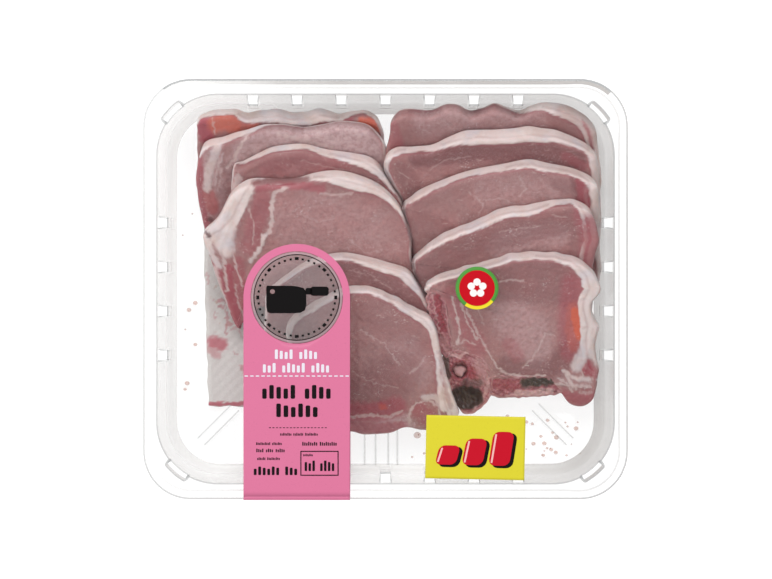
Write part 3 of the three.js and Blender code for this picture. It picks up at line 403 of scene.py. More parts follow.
class TraySettings(bpy.types.PropertyGroup):
    """What a user would change on the tray and its film."""
    clearness: FloatProperty(name="Clearness", description="Share of light the tray's sheet lets past",
                             default=0.93, min=0, max=1, subtype="FACTOR")
    film_clearness: FloatProperty(name="Film clearness", description="Share of light the film lets past",
                                  default=0.988, min=0, max=1, subtype="FACTOR")
    colour: FloatVectorProperty(name="Plastic", description="Colour of the clear plastic, as sRGB",
                                default=(0.86, 0.865, 0.86), size=3, min=0, max=1, subtype="COLOR_GAMMA")


class MeatSettings(bpy.types.PropertyGroup):
    """What a user would change on the meat."""
    drops: IntProperty(name="Drops", description="Drops of juice on the tray's floor", default=46, min=0)
    relief: FloatProperty(name="Relief", description="Height of the unevenness of the cut faces",
                          default=0.3 * MM, unit="LENGTH")
    lean: FloatVectorProperty(name="Lean", description="Colour of the lean, as sRGB",
                              default=(0.655, 0.495, 0.49), size=3, min=0, max=1, subtype="COLOR_GAMMA")
    fat: FloatVectorProperty(name="Fat", description="Colour of the fat, as sRGB",
                             default=(0.885, 0.82, 0.81), size=3, min=0, max=1, subtype="COLOR_GAMMA")


class LabelSettings(bpy.types.PropertyGroup):
    """What a user would change on the label and stickers."""
    width: FloatProperty(name="Label width", description="Width of the price label", default=58 * MM,
                         unit="LENGTH")
    window: FloatProperty(name="Window", description="Radius of the round window", default=25.1 * MM,
                          unit="LENGTH")
    paper: FloatVectorProperty(name="Label", description="Colour of the label, as sRGB",
                               default=(0.846, 0.449, 0.596), size=3, min=0, max=1, subtype="COLOR_GAMMA")
    sticker: FloatVectorProperty(name="Sticker", description="Colour of the square sticker, as sRGB",
                                 default=(0.85, 0.807, 0.15), size=3, min=0, max=1, subtype="COLOR_GAMMA")


def hex_colour(text):
    """An sRGB hex string as a triple."""
    return [int(text[i:i + 2], 16) / 255 for i in (1, 3, 5)]


def linear(colour):
    """An sRGB hex string or triple as linear red, green, blue and 1."""
    c = np.asarray(hex_colour(colour) if isinstance(colour, str) else colour[:3], float)
    return (*np.where(c <= 0.04045, c / 12.92, ((c + 0.055) / 1.055) ** 2.4), 1.0)


def smoothstep(low, high, value):
    """0 below low, 1 above high, and between them three times the square of the share of the way, less twice its
    cube."""
    t = np.clip((value - low) / (high - low), 0, 1)
    return t * t * (3 - 2 * t)


def ripples(x, y, size, seed):
    """Even, seeded unevenness between about -1 and 1: a quarter of the sum of eight sine waves of about that size
    in mm, each in its own direction."""
    random = np.random.default_rng(seed)
    total = np.zeros_like(x)
    for turn, wave, phase in zip(random.uniform(0, math.tau, 8), random.uniform(0.7, 1.6, 8),
                                 random.uniform(0, math.tau, 8)):
        k = math.tau / (size * wave)
        total = total + np.sin(k * (x * math.cos(turn) + y * math.sin(turn)) + phase)
    return total / 4


def stroke(x, y, points, width):
    """1 within a quarter of the width of a line through the points, falling smoothly to 0 at 0.62 of the width, by
    the distance to the line's nearest piece."""
    best = np.full(x.shape, 1e9)
    for (ax, ay), (bx, by) in zip(points[:-1], points[1:]):
        run = max((bx - ax) ** 2 + (by - ay) ** 2, 1e-9)
        t = np.clip(((x - ax) * (bx - ax) + (y - ay) * (by - ay)) / run, 0, 1)
        best = np.minimum(best, np.hypot(x - ax - t * (bx - ax), y - ay - t * (by - ay)))
    return 1 - smoothstep(0.25 * width, 0.62 * width, best)


def relaxed(loop, times=1):
    """A closed loop with each point drawn halfway to the mean of its neighbours, so many times."""
    for _ in range(times):
        loop = 0.25 * np.roll(loop, 1, 0) + 0.5 * loop + 0.25 * np.roll(loop, -1, 0)
    return loop


def evenly(line, count, endpoint=True):
    """Points at even steps along a line of points, by the length of the line in its first two values."""
    length = np.concatenate([[0], np.cumsum(np.hypot(*np.diff(line[:, :2], axis=0).T))])
    even = np.linspace(0, length[-1], count, endpoint=endpoint)
    return np.stack([np.interp(even, length, column) for column in line.T], 1)


def grid_faces(rows, columns, closed):
    """Four-sided faces between each point of a grid and its neighbours, as one array. Closed joins the last
    column to the first."""
    index = np.arange(rows * columns).reshape(rows, columns)
    here, right = (index, np.roll(index, -1, 1)) if closed else (index[:, :-1], index[:, 1:])
    return np.stack([here[:-1], right[:-1], right[1:], here[1:]], -1).reshape(-1, 4)


def mesh_object(name, vertices, faces, tips=None, attributes=None, smooth=True, closed=True):
    """A mesh in metres from points in mm and arrays of faces, turned to face outwards by its signed volume."""
    vertices = (np.asarray(vertices, float) + (0, SET_BACK, 0)) * MM
    loops = [np.asarray(faces)] + ([np.asarray(tips)] if tips is not None and len(tips) else [])
    if closed:
        volume = 0.0
        for group in loops:
            a = vertices[group[:, 0]]
            for j in range(1, group.shape[1] - 1):
                volume += np.einsum("ij,ij->", a, np.cross(vertices[group[:, j]], vertices[group[:, j + 1]]))
        if volume < 0:
            loops = [group[:, ::-1] for group in loops]
    corners = np.concatenate([group.ravel() for group in loops])
    sizes = np.concatenate([np.full(len(group), group.shape[1]) for group in loops])
    mesh = bpy.data.meshes.new(name)
    mesh.vertices.add(len(vertices))
    mesh.vertices.foreach_set("co", vertices.ravel())
    mesh.loops.add(len(corners))
    mesh.loops.foreach_set("vertex_index", corners.astype(np.int32))
    mesh.polygons.add(len(sizes))
    mesh.polygons.foreach_set("loop_start", np.concatenate([[0], np.cumsum(sizes)[:-1]]).astype(np.int32))
    mesh.polygons.foreach_set("use_smooth", np.full(len(sizes), smooth))
    for key, values in (attributes or {}).items():
        painted = mesh.attributes.new(key, "FLOAT_COLOR", "POINT")
        painted.data.foreach_set("color", np.ascontiguousarray(values, np.float32).ravel())
    mesh.update(calc_edges=True)
    mesh.validate()
    piece = bpy.data.objects.new(name, mesh)
    bpy.context.scene.collection.objects.link(piece)
    return piece


def skin(name, grid, tip_first=None, tip_last=None, attributes=None, closed_columns=True, closed=True):
    """A mesh over a grid of points, its columns closed into rings, and the first and last ring closed on a tip."""
    rows, columns = grid.shape[:2]
    vertices = grid.reshape(-1, 3)
    extra = [tip for tip in (tip_first, tip_last) if tip is not None]
    if extra:
        vertices = np.vstack([vertices, extra])
    faces = grid_faces(rows, columns, closed_columns)
    ring = np.arange(columns)
    tips = []
    if tip_first is not None:
        tips.append(np.stack([np.full(columns, rows * columns), np.roll(ring, -1), ring], 1))
    if tip_last is not None:
        last = (rows - 1) * columns + ring
        tips.append(np.stack([np.full(columns, len(vertices) - 1), last, np.roll(last, -1)], 1))
    values = {}
    for key, grid_values in (attributes or {}).items():
        flat = grid_values.reshape(-1, 4)
        if tip_first is not None:
            flat = np.vstack([flat, grid_values[0].mean(0)])
        if tip_last is not None:
            flat = np.vstack([flat, grid_values[-1].mean(0)])
        values[key] = flat
    return mesh_object(name, vertices, faces, np.vstack(tips) if tips else None, values, closed=closed)


def finish_piece(piece, material, slot, *nodes):
    """Gives a piece its material and body, and hides the CAD nodes that it stands for. The slot is not used."""
    piece.data.materials.append(material)
    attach(piece, "root")
    if nodes:
        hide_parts(*nodes)


def disc(name, cx, cy, radius, z, count, shares):
    """A flat disc of rings round a middle point, each a share of the radius."""
    angle = np.linspace(0, math.tau, count, endpoint=False)
    reach = radius * shares[:, None]
    grid = np.stack([cx + reach * np.cos(angle), cy + reach * np.sin(angle), z + 0 * reach * angle], -1)
    return skin(name, grid, tip_first=(cx, cy, z), closed=False)


def face_up(piece):
    """Turns the faces of an open sheet so that its first one looks up or level."""
    if piece.data.polygons[0].normal.z < 0:
        piece.data.flip_normals()


def thicken(piece, thickness, offset=-1.0):
    """Gives an open sheet its thickness in mm: down from its upward face, or up with an offset of 1."""
    face_up(piece)
    solid = piece.modifiers.new("sheet", "SOLIDIFY")
    solid.thickness = thickness * MM
    solid.offset = offset


# Materials

def add_node(material, kind, inputs=None, **settings):
    """Adds a node, sets its settings, and links or sets its inputs."""
    tree = material.node_tree
    node = tree.nodes.new(kind)
    for key, value in settings.items():
        setattr(node, key, value)
    for key, value in (inputs or {}).items():
        if isinstance(value, bpy.types.NodeSocket):
            tree.links.new(value, node.inputs[key])
        else:
            node.inputs[key].default_value = value
    return node


def new_material(name, **sockets):
    """A material with one Principled shader and the constants given for its sockets."""
    material = bpy.data.materials.new(name)
    material.use_nodes = True
    material.node_tree.nodes.clear()
    shader = add_node(material, "ShaderNodeBsdfPrincipled", {k.replace("_", " "): v for k, v in sockets.items()})
    add_node(material, "ShaderNodeOutputMaterial", {"Surface": shader.outputs[0]})
    return material, shader


def mix(material, factor, a, b, blend="MIX"):
    """The colour output of a colour mix."""
    node = add_node(material, "ShaderNodeMix", {0: factor, 6: a, 7: b}, data_type="RGBA", blend_type=blend)
    return node.outputs[2]


def math_node(material, operation, a, b=0.0):
    """The value output of a sum on one or two values."""
    return add_node(material, "ShaderNodeMath", {0: a, 1: b}, operation=operation).outputs[0]


def noise(material, size, detail=3.0, roughness=0.55, stretch=(1, 1, 1)):
    """The value of noise whose blobs are about that size in mm, on Object coordinates."""
    place = add_node(material, "ShaderNodeTexCoord")
    mapping = add_node(material, "ShaderNodeMapping", {"Vector": place.outputs["Object"], "Scale": stretch})
    return add_node(material, "ShaderNodeTexNoise", {
        "Vector": mapping.outputs[0], "Scale": 1 / (size * MM), "Detail": detail, "Roughness": roughness}).outputs[0]


def ramp(material, value, low, high):
    """A value spread from low..high to 0..1."""
    return add_node(material, "ShaderNodeMapRange", {0: value, 1: low, 2: high}, clamp=True).outputs[0]


def layer(material, below, value, low, high, strength, above):
    """A colour laid over another, as far as a value lies between low and high, times the strength."""
    share = math_node(material, "MULTIPLY", ramp(material, value, low, high), strength)
    return mix(material, share, below, above)


def channels(material, name):
    """The red, green, blue and alpha of a colour that the mesh has at each point."""
    colour = add_node(material, "ShaderNodeAttribute", attribute_name=name)
    split = add_node(material, "ShaderNodeSeparateColor", {"Color": colour.outputs["Color"]})
    return (*split.outputs, colour.outputs["Alpha"])


def link_colour(material, shader, colour):
    """Gives the shader its base colour."""
    material.node_tree.links.new(colour, shader.inputs["Base Color"])


def bump(material, shader, height, strength, depth):
    """Bumps of that depth in mm from a height value."""
    node = add_node(material, "ShaderNodeBump", {"Height": height, "Strength": strength, "Distance": depth * MM})
    material.node_tree.links.new(node.outputs[0], shader.inputs["Normal"])


def meat_material(name, lean, fat, dark, wetness):
    """Raw pork, cut across the grain: lean of short bundles about 2 mm wide with soft colour drift, waxy fat,
    silver skin along the seams. Wet, with a coat of low roughness, and small whitish flecks painted on as its
    highlights; light goes a millimetre or two into it, which softens the edges. The mesh's channels add painted
    shade and the painted glow of thin lean."""
    material, shader = new_material(
        name, Roughness=0.45, IOR=1.4, Specular_IOR_Level=0.3, Subsurface_Weight=0.2, Subsurface_Scale=1.4 * MM,
        Subsurface_Radius=(1.0, 0.35, 0.3), Coat_Weight=wetness, Coat_Roughness=0.2, Coat_IOR=1.33)
    fatty, red, seam, shaded = channels(material, "tissue")
    glow, deep, pale, _ = channels(material, "tints")
    patches = noise(material, 16, 2)
    bundles = noise(material, 2.2, 4, 0.6)
    grain = noise(material, 0.7, 2, 0.6)

    def tone(*factors):
        return linear([min(1, c * f) for c, f in zip(lean, factors)])

    colour = layer(material, linear(lean), patches, 0.35, 0.7, 1.0, tone(1.03, 0.96, 0.96))
    colour = mix(material, pale, colour, linear("#c6a8a9"))
    # Deep is darker lean, and painted shade in front of the fat edges
    colour = mix(material, deep, colour, linear("#74484b"))
    colour = layer(material, colour, bundles, 0.42, 0.7, 0.5, tone(0.86, 0.78, 0.8))
    colour = layer(material, colour, grain, 0.56, 0.74, 0.4, tone(1.14, 1.2, 1.2))
    marbling = noise(material, 4.5, 3, 0.7, (1, 1.8, 1))
    colour = layer(material, colour, marbling, 0.62, 0.73, 0.45, linear("#c9b0ac"))
    colour = mix(material, red, colour, linear("#a64e5a"))
    # Painted light: glow is lean so thin that the light shines through it, painted orange
    colour = mix(material, glow, colour, linear("#cf6650"))
    # Painted highlights: small whitish flecks in patches, standing for glints on the moist surface
    painted_glints = math_node(material, "MULTIPLY", ramp(material, noise(material, 0.9, 2, 0.7), 0.59, 0.67),
                    ramp(material, noise(material, 13, 2), 0.5, 0.7))
    colour = mix(material, math_node(material, "MULTIPLY", painted_glints, 0.75), colour, linear("#dccccb"))
    colour = mix(material, seam, colour, linear("#cdb5b2"))
    waxy = layer(material, linear(fat), noise(material, 9, 3), 0.45, 0.68, 0.55, linear("#cfb6ac"))
    waxy = layer(material, waxy, noise(material, 14, 2), 0.5, 0.7, 0.6, linear("#c9c4cc"))
    waxy = layer(material, waxy, noise(material, 1.6, 3), 0.5, 0.75, 0.25, linear("#e9e2df"))
    colour = mix(material, fatty, colour, waxy)
    # Painted shade: the fourth tissue channel darkens the lower cut sides, the crevice between the rows and dark spots
    colour = mix(material, shaded, colour, linear(dark))
    link_colour(material, shader, colour)
    height = math_node(material, "ADD", bundles, math_node(material, "MULTIPLY", grain, 0.45))
    bump(material, shader, height, 0.5, 0.35)
    return material


def bone_material():
    """Freshly sawn bone: a smooth pale outer wall round red marrow with pores about a millimetre across."""
    material, shader = new_material("sawn_bone", Roughness=0.4, IOR=1.45, Subsurface_Weight=0.15,
                                    Subsurface_Scale=1 * MM, Coat_Weight=0.3, Coat_Roughness=0.25)
    pale, marrow, _, shaded = channels(material, "tissue")
    pores = noise(material, 1.3, 3, 0.7)
    colour = mix(material, ramp(material, pores, 0.4, 0.68), linear("#944a54"), linear("#bd8789"))
    colour = layer(material, colour, noise(material, 6, 2), 0.45, 0.7, 0.6, linear("#7c4045"))
    colour = mix(material, marrow, colour, linear("#933a44"))
    colour = mix(material, pale, colour, linear("#c9a19f"))
    # Painted shade: the fourth channel darkens the lower sides, the hollow, the canal and the dark marks
    colour = mix(material, shaded, colour, linear("#43342c"))
    link_colour(material, shader, colour)
    bump(material, shader, pores, 0.6, 0.4)
    return material


def clear_plastic(name, colour, alpha, roughness=0.08):
    """Clear polyester sheet of the colour and cover given. Where it is drawn thin or bent it is given grey: painted
    shade for the light that the sheet turns aside there."""
    return new_material(name, Base_Color=linear(colour), Roughness=roughness, IOR=1.5, Alpha=alpha)[0]


def paper_material(name, colour, roughness=0.45):
    """Coated label paper: an even print with fibres about half a millimetre long just showing in the gloss."""
    material, shader = new_material(name, Roughness=roughness, IOR=1.45, Specular_IOR_Level=0.4)
    fibres = noise(material, 0.5, 3, 0.6)
    tone = layer(material, linear(colour), fibres, 0.35, 0.7, 0.12, linear([min(1, c * 1.06 + 0.02) for c in colour]))
    tone = layer(material, tone, noise(material, 22, 2), 0.4, 0.7, 0.15, linear([c * 0.97 for c in colour]))
    tone = layer(material, tone, noise(material, 0.8, 2, 0.5), 0.64, 0.72, 0.2, linear([c * 0.7 for c in colour]))
    link_colour(material, shader, tone)
    bump(material, shader, fibres, 0.12, 0.05)
    return material


# The tray

def rounded_box(x, y, half, radius):
    """Signed distance of a point from a rounded rectangle: below 0 inside."""
    qx, qy = np.abs(x) - half[0] + radius, np.abs(y) - half[1] + radius
    return np.hypot(np.maximum(qx, 0), np.maximum(qy, 0)) + np.minimum(np.maximum(qx, qy), 0) - radius


def tray_stations():
    """Points round the opening between the walls, with the way out, the share of a rib and of a corner pocket.
    They are closest together on the flanks of the ribs and pockets."""
    near = np.array([-4.7, -3.9, -3.5, -3.2, -2.9, -2.6, -2.2, -1, 1, 2.2, 2.6, 2.9, 3.2, 3.5, 3.9, 4.7])
    points = []
    for side, ribs in enumerate((LONG_RIBS, SHORT_RIBS, LONG_RIBS, SHORT_RIBS)):
        along_half = OPEN_HALF[side % 2] - OPEN_RADIUS
        out_far = OPEN_HALF[1 - side % 2]
        plain = np.linspace(-along_half, along_half, 46)
        plain = plain[np.min(np.abs(plain[:, None] - ribs), 1) > 5.6]
        run = np.sort(np.concatenate([(ribs[:, None] + near).ravel(), plain]))
        rib = 1 - smoothstep(2.9, 3.55, np.min(np.abs(run[:, None] - ribs), 1))
        straight = np.stack([run, np.full_like(run, out_far), 0 * run, 0 * run + 1, rib, 0 * run], 1)
        low, high = POCKET_MIDDLES[side] - POCKET_HALF, POCKET_MIDDLES[side] + POCKET_HALF
        turn = np.concatenate([np.linspace(2, low - 5, 7), np.linspace(low - 3.4, low + 1, 9),
                               np.linspace(low + 3, high - 3, 7), np.linspace(high - 1, high + 3.4, 9),
                               np.linspace(high + 5, 88, 7)])
        angle = np.radians(turn)
        pocket = smoothstep(low - 2.6, low, turn) * (1 - smoothstep(high, high + 2.6, turn))
        corner = np.stack([along_half + OPEN_RADIUS * np.sin(angle),
                           out_far - OPEN_RADIUS + OPEN_RADIUS * np.cos(angle),
                           np.sin(angle), np.cos(angle), 0 * angle, pocket], 1)
        piece = np.vstack([straight, corner])
        c, s = ((1, 0), (0, 1), (-1, 0), (0, -1))[side]
        quarter_turn = np.array([[c, -s], [s, c]])
        points.append(np.hstack([piece[:, :2] @ quarter_turn, piece[:, 2:4] @ quarter_turn, piece[:, 4:]]))
    return np.vstack(points)


def floor_height(x, y):
    """Height of the tray's floor over a point: flat, with four feet pressed down, two slanting ribs pressed up
    towards the front corners and two ridges, each a bell curve, at the middle of the front."""
    foot = rounded_box(np.abs(x) - FOOT[0], np.abs(y) - FOOT[1], FOOT[2:], 9.0)
    feet = -FOOT_DEPTH * (1 - smoothstep(-1.6, 1.2, foot))
    u = (np.abs(x) - FLOOR_RIB[0] + np.abs(y) - FLOOR_RIB[1]) / math.sqrt(2)
    v = (np.abs(x) - FLOOR_RIB[0] - np.abs(y) + FLOOR_RIB[1]) / math.sqrt(2)
    ribs = (1 - smoothstep(-0.8, 0.9, rounded_box(u, v, FLOOR_RIB[2:], 2.5))) * (y < 0)
    ridges = sum(0.9 * np.exp(-((x - at) / 1.1) ** 2) for at in (-4.1, 3.0)) * (1 - smoothstep(-80, -74, y))
    return FLOOR_Z + feet + ribs + ridges * (y < 0)


def build_tray(settings):
    """A skin over rows of points: rings spreading over the floor, up the fillet and ribbed wall to the opening,
    then out over the rim, its raised bead and turned-down lip. Each ring is the opening's outline moved along
    its normal; a rib or a pocket moves it further by a share that fades along the wall. Each band of faces has
    the material of its zone: 0 flat sheet, 1 drawn wall, 2 tight bend; the grey of the walls and of the bends is
    painted shade."""
    x, y, nx, ny, rib, pocket = tray_stations().T
    reach = np.full_like(x, 8.0)
    for _ in range(12):
        reach = reach - rounded_box(x + nx * reach, y + ny * reach, RIM_HALF, RIM_RADIUS)
    rings, zones = [], []

    def add(out, z, zone):
        rings.append(np.stack([x + nx * out, y + ny * out, z + 0 * x], 1))
        zones.append(zone + 0 * x)

    def drop(z):
        return DRAFT * (RIM_Z - z) / (RIM_Z - FLOOR_Z)

    foot = DRAFT + FILLET
    for share in np.linspace(0.02, 1, 42) ** 0.6:
        px, py = (x - nx * foot) * share, (y - ny * foot) * share
        rings.append(np.stack([px, py, floor_height(px, py)], 1))
        zones.append(0 * x)
    for angle in np.radians((15, 30, 45, 60, 75)):
        add(-DRAFT - FILLET * (1 - math.sin(angle)) - RIB_LOW * 0.55 * rib * math.sin(angle),
            FLOOR_Z + FILLET * (1 - math.cos(angle)), 1)
    low = FLOOR_Z + FILLET
    flank = np.abs(np.roll(rib, -1) - rib) > 0.05
    pocket_edge = np.abs(np.roll(pocket, -1) - pocket) > 0.05
    for z in np.linspace(low, SHELF_Z - 0.7, 9):
        depth = RIB_LOW + (RIB_DEPTH - RIB_LOW) * ((z - low) / (SHELF_Z - low)) ** 0.8
        add(-drop(z) - depth * rib, z, np.where(flank & (z > 44), 2, 1))
    add(-drop(SHELF_Z) - (RIB_DEPTH - 0.4) * rib, SHELF_Z - 0.15, np.where(rib > 0.5, 2, 1))
    shelf = (rib > 0.5) | (pocket > 0.5)
    add(-drop(SHELF_Z) - (RIB_DEPTH - 0.9) * rib + 0.3 * pocket, SHELF_Z, np.where(shelf, 2, 1))
    add(-drop(SHELF_Z) - 0.4 * rib + 2.8 * pocket, SHELF_Z + 0.1,
        np.where(flank | pocket_edge, 2, np.where(shelf, 0, 1)))
    add(-drop(SHELF_Z + 0.7) + 3.3 * pocket, SHELF_Z + 0.7, np.where(pocket_edge, 2, 1 - rib))
    add(POCKET_OUT * pocket, RIM_Z - 0.7, np.where(pocket_edge, 2, 1))
    for out, down, zone in ((0.22, 0.25, 2), (0.6, 0.04, 2), (0.95, 0, 0)):
        add(out + POCKET_OUT * pocket, RIM_Z - down, zone)
    back = ny > 0.75
    # Over the rim, as (inset from its outer edge, height, zone); at the back its bends get the painted shade of the
    # wall and bend zones
    for inset, z, zone in ((6.0, 50.0, 0), (5.2, 50.0, 0), (4.9, 49.85, 0), (4.5, 49.35, 1), (4.2, 49.2, 0),
                           (3.2, 49.2, 0), (1.2, 49.15, np.where(back, 1, 0)), (0.55, 48.95, np.where(back, 2, 0)),
                           (0.2, 48.5, np.where(back, 2, 1)), (0.0, 47.8, 2), (0.0, 46.5, 2)):
        add(np.maximum(reach - inset, 0.95 + POCKET_OUT * pocket + (6.0 - inset) * 0.05), z, zone)
    grid = np.stack(rings)
    # Painted shade: the middle of a wall is as grey as its bearing says, greyer up the wall and by the ribs, lighter
    # between them
    middle = np.interp(np.degrees(np.arctan2(x, y)), *WALL_PAINTED_SHADE.T, period=360)
    base = 0.3 + 0.5 * smoothstep(0.5, 0.9, middle)
    near_rib = np.convolve(np.concatenate([rib[-12:], rib, rib[:12]]), np.hanning(25) / 12, "same")[12:-12]
    curve = 0.10 * smoothstep(0.05, 0.5, near_rib) - 0.06 + 0.05 * ripples(x, y, 16, 9)
    shade = np.zeros((*grid.shape[:2], 4))
    shade[..., 0] = (middle + curve * (middle > 0.5)) * (base + (1.12 - base) * (grid[..., 2] / RIM_Z) ** 1.5)
    tray = skin("tray", grid, tip_first=(0, 0, FLOOR_Z), attributes={"painted_wall_shade": shade}, closed=False)
    zone = np.zeros(len(tray.data.polygons), np.int32)
    zone[:(len(rings) - 1) * len(x)] = np.round(np.stack(zones[1:])).astype(np.int32).ravel()
    tray.data.polygons.foreach_set("material_index", zone)
    thicken(tray, SHEET)
    finish_piece(tray, clear_plastic("clear_polyester_sheet", settings.colour, 1 - settings.clearness),
                 "tray_plastic", "tray_body", "tray_rim")
    # Drawn thin and slightly frosted by the mould; its colour is painted shade, white to a warm grey by each point's
    # value
    wall, shader = new_material("drawn_clear_polyester_painted_shade", Roughness=0.2, IOR=1.5, Alpha=0.335)
    link_colour(wall, shader, mix(wall, channels(wall, "painted_wall_shade")[0], linear("#fdfdfb"), linear("#5a4028")))
    tray.data.materials.append(wall)
    # Painted shade: tight bends are a darker grey line, standing for the light that the bent sheet turns aside
    tray.data.materials.append(clear_plastic("bent_clear_polyester_painted_edge", "#63686a", 0.41, 0.15))


def build_floor_ribs():
    """Painted shade for the pressed ribs in the tray's floor: faint grey strips along the narrow slopes round each,
    outlines of slanting bars at the corners and upright ones at the front, standing for the light the slopes turn
    aside."""
    shapes = []
    along, across, half_length, half_width = FLOOR_RIB
    for side, end in ((-1, 1), (1, 1), (-1, -1), (1, -1)):
        x, y = side * along, end * across
        for shift in (-half_width, half_width):
            slope = bar(x - half_length, x + half_length, y + shift - 0.35, y + shift + 0.35)
            shapes += turned([slope], x, y, 45 * side * end)
    for x in (-11.5, -5.5, 1.5, 6.5):
        shapes.append(bar(x - 0.5, x + 0.5, -97, -74))
    # Painted shade: faint grey strips laid on the floor
    flat_piece("floor_rib_painted_edges", shapes, FLOOR_Z + 0.35, "#a5a29f", "tray_plastic", 0.3, 0.11)


def build_film(settings):
    """A flat grid between straight edges and round corners: each ring is the rim's outline scaled in, and the
    height has ripples of a few hundredths of a millimetre where the film is drawn tight."""
    angle = np.linspace(0, math.tau, 240, endpoint=False)
    half, radius = (RIM_HALF[0] - FILM_INSET, RIM_HALF[1] - FILM_INSET), RIM_RADIUS - FILM_INSET
    ray_x, ray_y = np.cos(angle), np.sin(angle)
    reach = np.full_like(angle, 100.0)
    for _ in range(60):
        reach = reach - 0.7 * rounded_box(ray_x * reach, ray_y * reach, half, radius)
    share = np.linspace(0.03, 1, 26)[:, None]
    x, y = ray_x * reach * share, ray_y * reach * share
    z = FILM_Z + 0.05 * ripples(x, y, 60, 5) * (1 - smoothstep(0.85, 1, share))
    film = skin("lidding_film", np.stack([x, y, z], -1), tip_first=(0, 0, FILM_Z), closed=False)
    thicken(film, FILM_SHEET, 1.0)
    plastic = clear_plastic("clear_lidding_film", (0.7, 0.7, 0.7), 1 - settings.film_clearness)
    finish_piece(film, plastic, "film", "lidding_film")


# The meat

def row_height(row, x, y):
    """Height of a row's common surface: a straight slope over the way back, plus bends that each raise the slope
    softly past a point. The way back is y plus a sag that grows with the square of the distance from the peak."""
    s = y + row["sag"] * ((x - row["peak"]) / row["reach"]) ** 2
    height = row["low"] + row["slope"] * (s - row["start"])
    for at, rise in row["bends"]:
        height = height + rise * BEND_SOFTNESS * np.logaddexp(0, (s - at) / BEND_SOFTNESS)
    return height


def hidden_front(chop, row):
    """The unseen front of a chop, where it thins out on the floor under the next one: a line across the row, at
    the first step forward at which the row's surface is low enough, bent by the row's sag, its ends 6 mm back."""
    tip = row["floor"] + TIP_THICKNESS - (chop["layer"] + 1) * row["pitch"] + 1.0
    back_most = max(point[1] for point in chop["back"])
    steps = back_most - np.arange(0, LONGEST_CHOP + 0.5, 0.5)
    low = row_height(row, np.full_like(steps, row["peak"]), steps) <= tip
    s = steps[np.argmax(low)] if low.any() else steps[-1]
    shares = np.array((0, 0.33, 0.67, 1))
    x = chop["front_to"] + (chop["front_from"] - chop["front_to"]) * shares
    y = s + 6 * (shares % 1 == 0) - row["sag"] * ((x - row["peak"]) / row["reach"]) ** 2
    return [(a, b, 0.0) for a, b in zip(x, y)]


def outline(points, count, side):
    """A closed smooth curve through the points (Catmull-Rom), its stations evenly spaced, kept on its side of the
    crevice between the rows, with the outward normals. The third value runs along as the width of the fat."""
    p = np.array([(*point, 0.0)[:3] for point in points], float)
    t = np.linspace(0, 1, 40, endpoint=False)[None, :, None]
    a, b, c, d = (np.roll(p, shift, 0)[:, None] for shift in (1, 0, -1, -2))
    curve = 0.5 * (2 * b + (c - a) * t + (2 * a - 5 * b + 4 * c - d) * t ** 2 + (3 * b - 3 * c + d - a) * t ** 3)
    curve = curve.reshape(-1, 3)
    if side:
        # The rows press on each other along the crevice, and their far ends reach the ribs of the tray
        middle = np.interp(curve[:, 1], CREVICE[:, 0], CREVICE[:, 1])
        away = (curve[:, 0] - middle) * side
        pressed = (1 - smoothstep(2.5, 9, away)) * (1 - smoothstep(72, 90, curve[:, 1]))
        curve[:, 0] -= PRESS * side * pressed * smoothstep(-40, -12, curve[:, 1])
        curve[:, 0] += RIGHT_REACH * smoothstep(100, 116, curve[:, 0]) - LEFT_REACH * smoothstep(-88, -102, curve[:, 0])
        limit = middle - CREVICE_GAP * side
        curve[:, 0] = np.maximum(curve[:, 0], limit) if side > 0 else np.minimum(curve[:, 0], limit)
    loop = relaxed(evenly(np.vstack([curve, curve[:1]]), count, False), 7)
    way = np.roll(loop, -1, 0) - np.roll(loop, 1, 0)
    way = way[:, :2] / np.hypot(way[:, 0], way[:, 1])[:, None]
    area = np.sum(loop[:, 0] * np.roll(loop[:, 1], -1) - np.roll(loop[:, 0], -1) * loop[:, 1])
    out = relaxed(np.stack([way[:, 1], -way[:, 0]], 1) * np.sign(area), 8)
    return loop, out / np.hypot(out[:, 0], out[:, 1])[:, None]


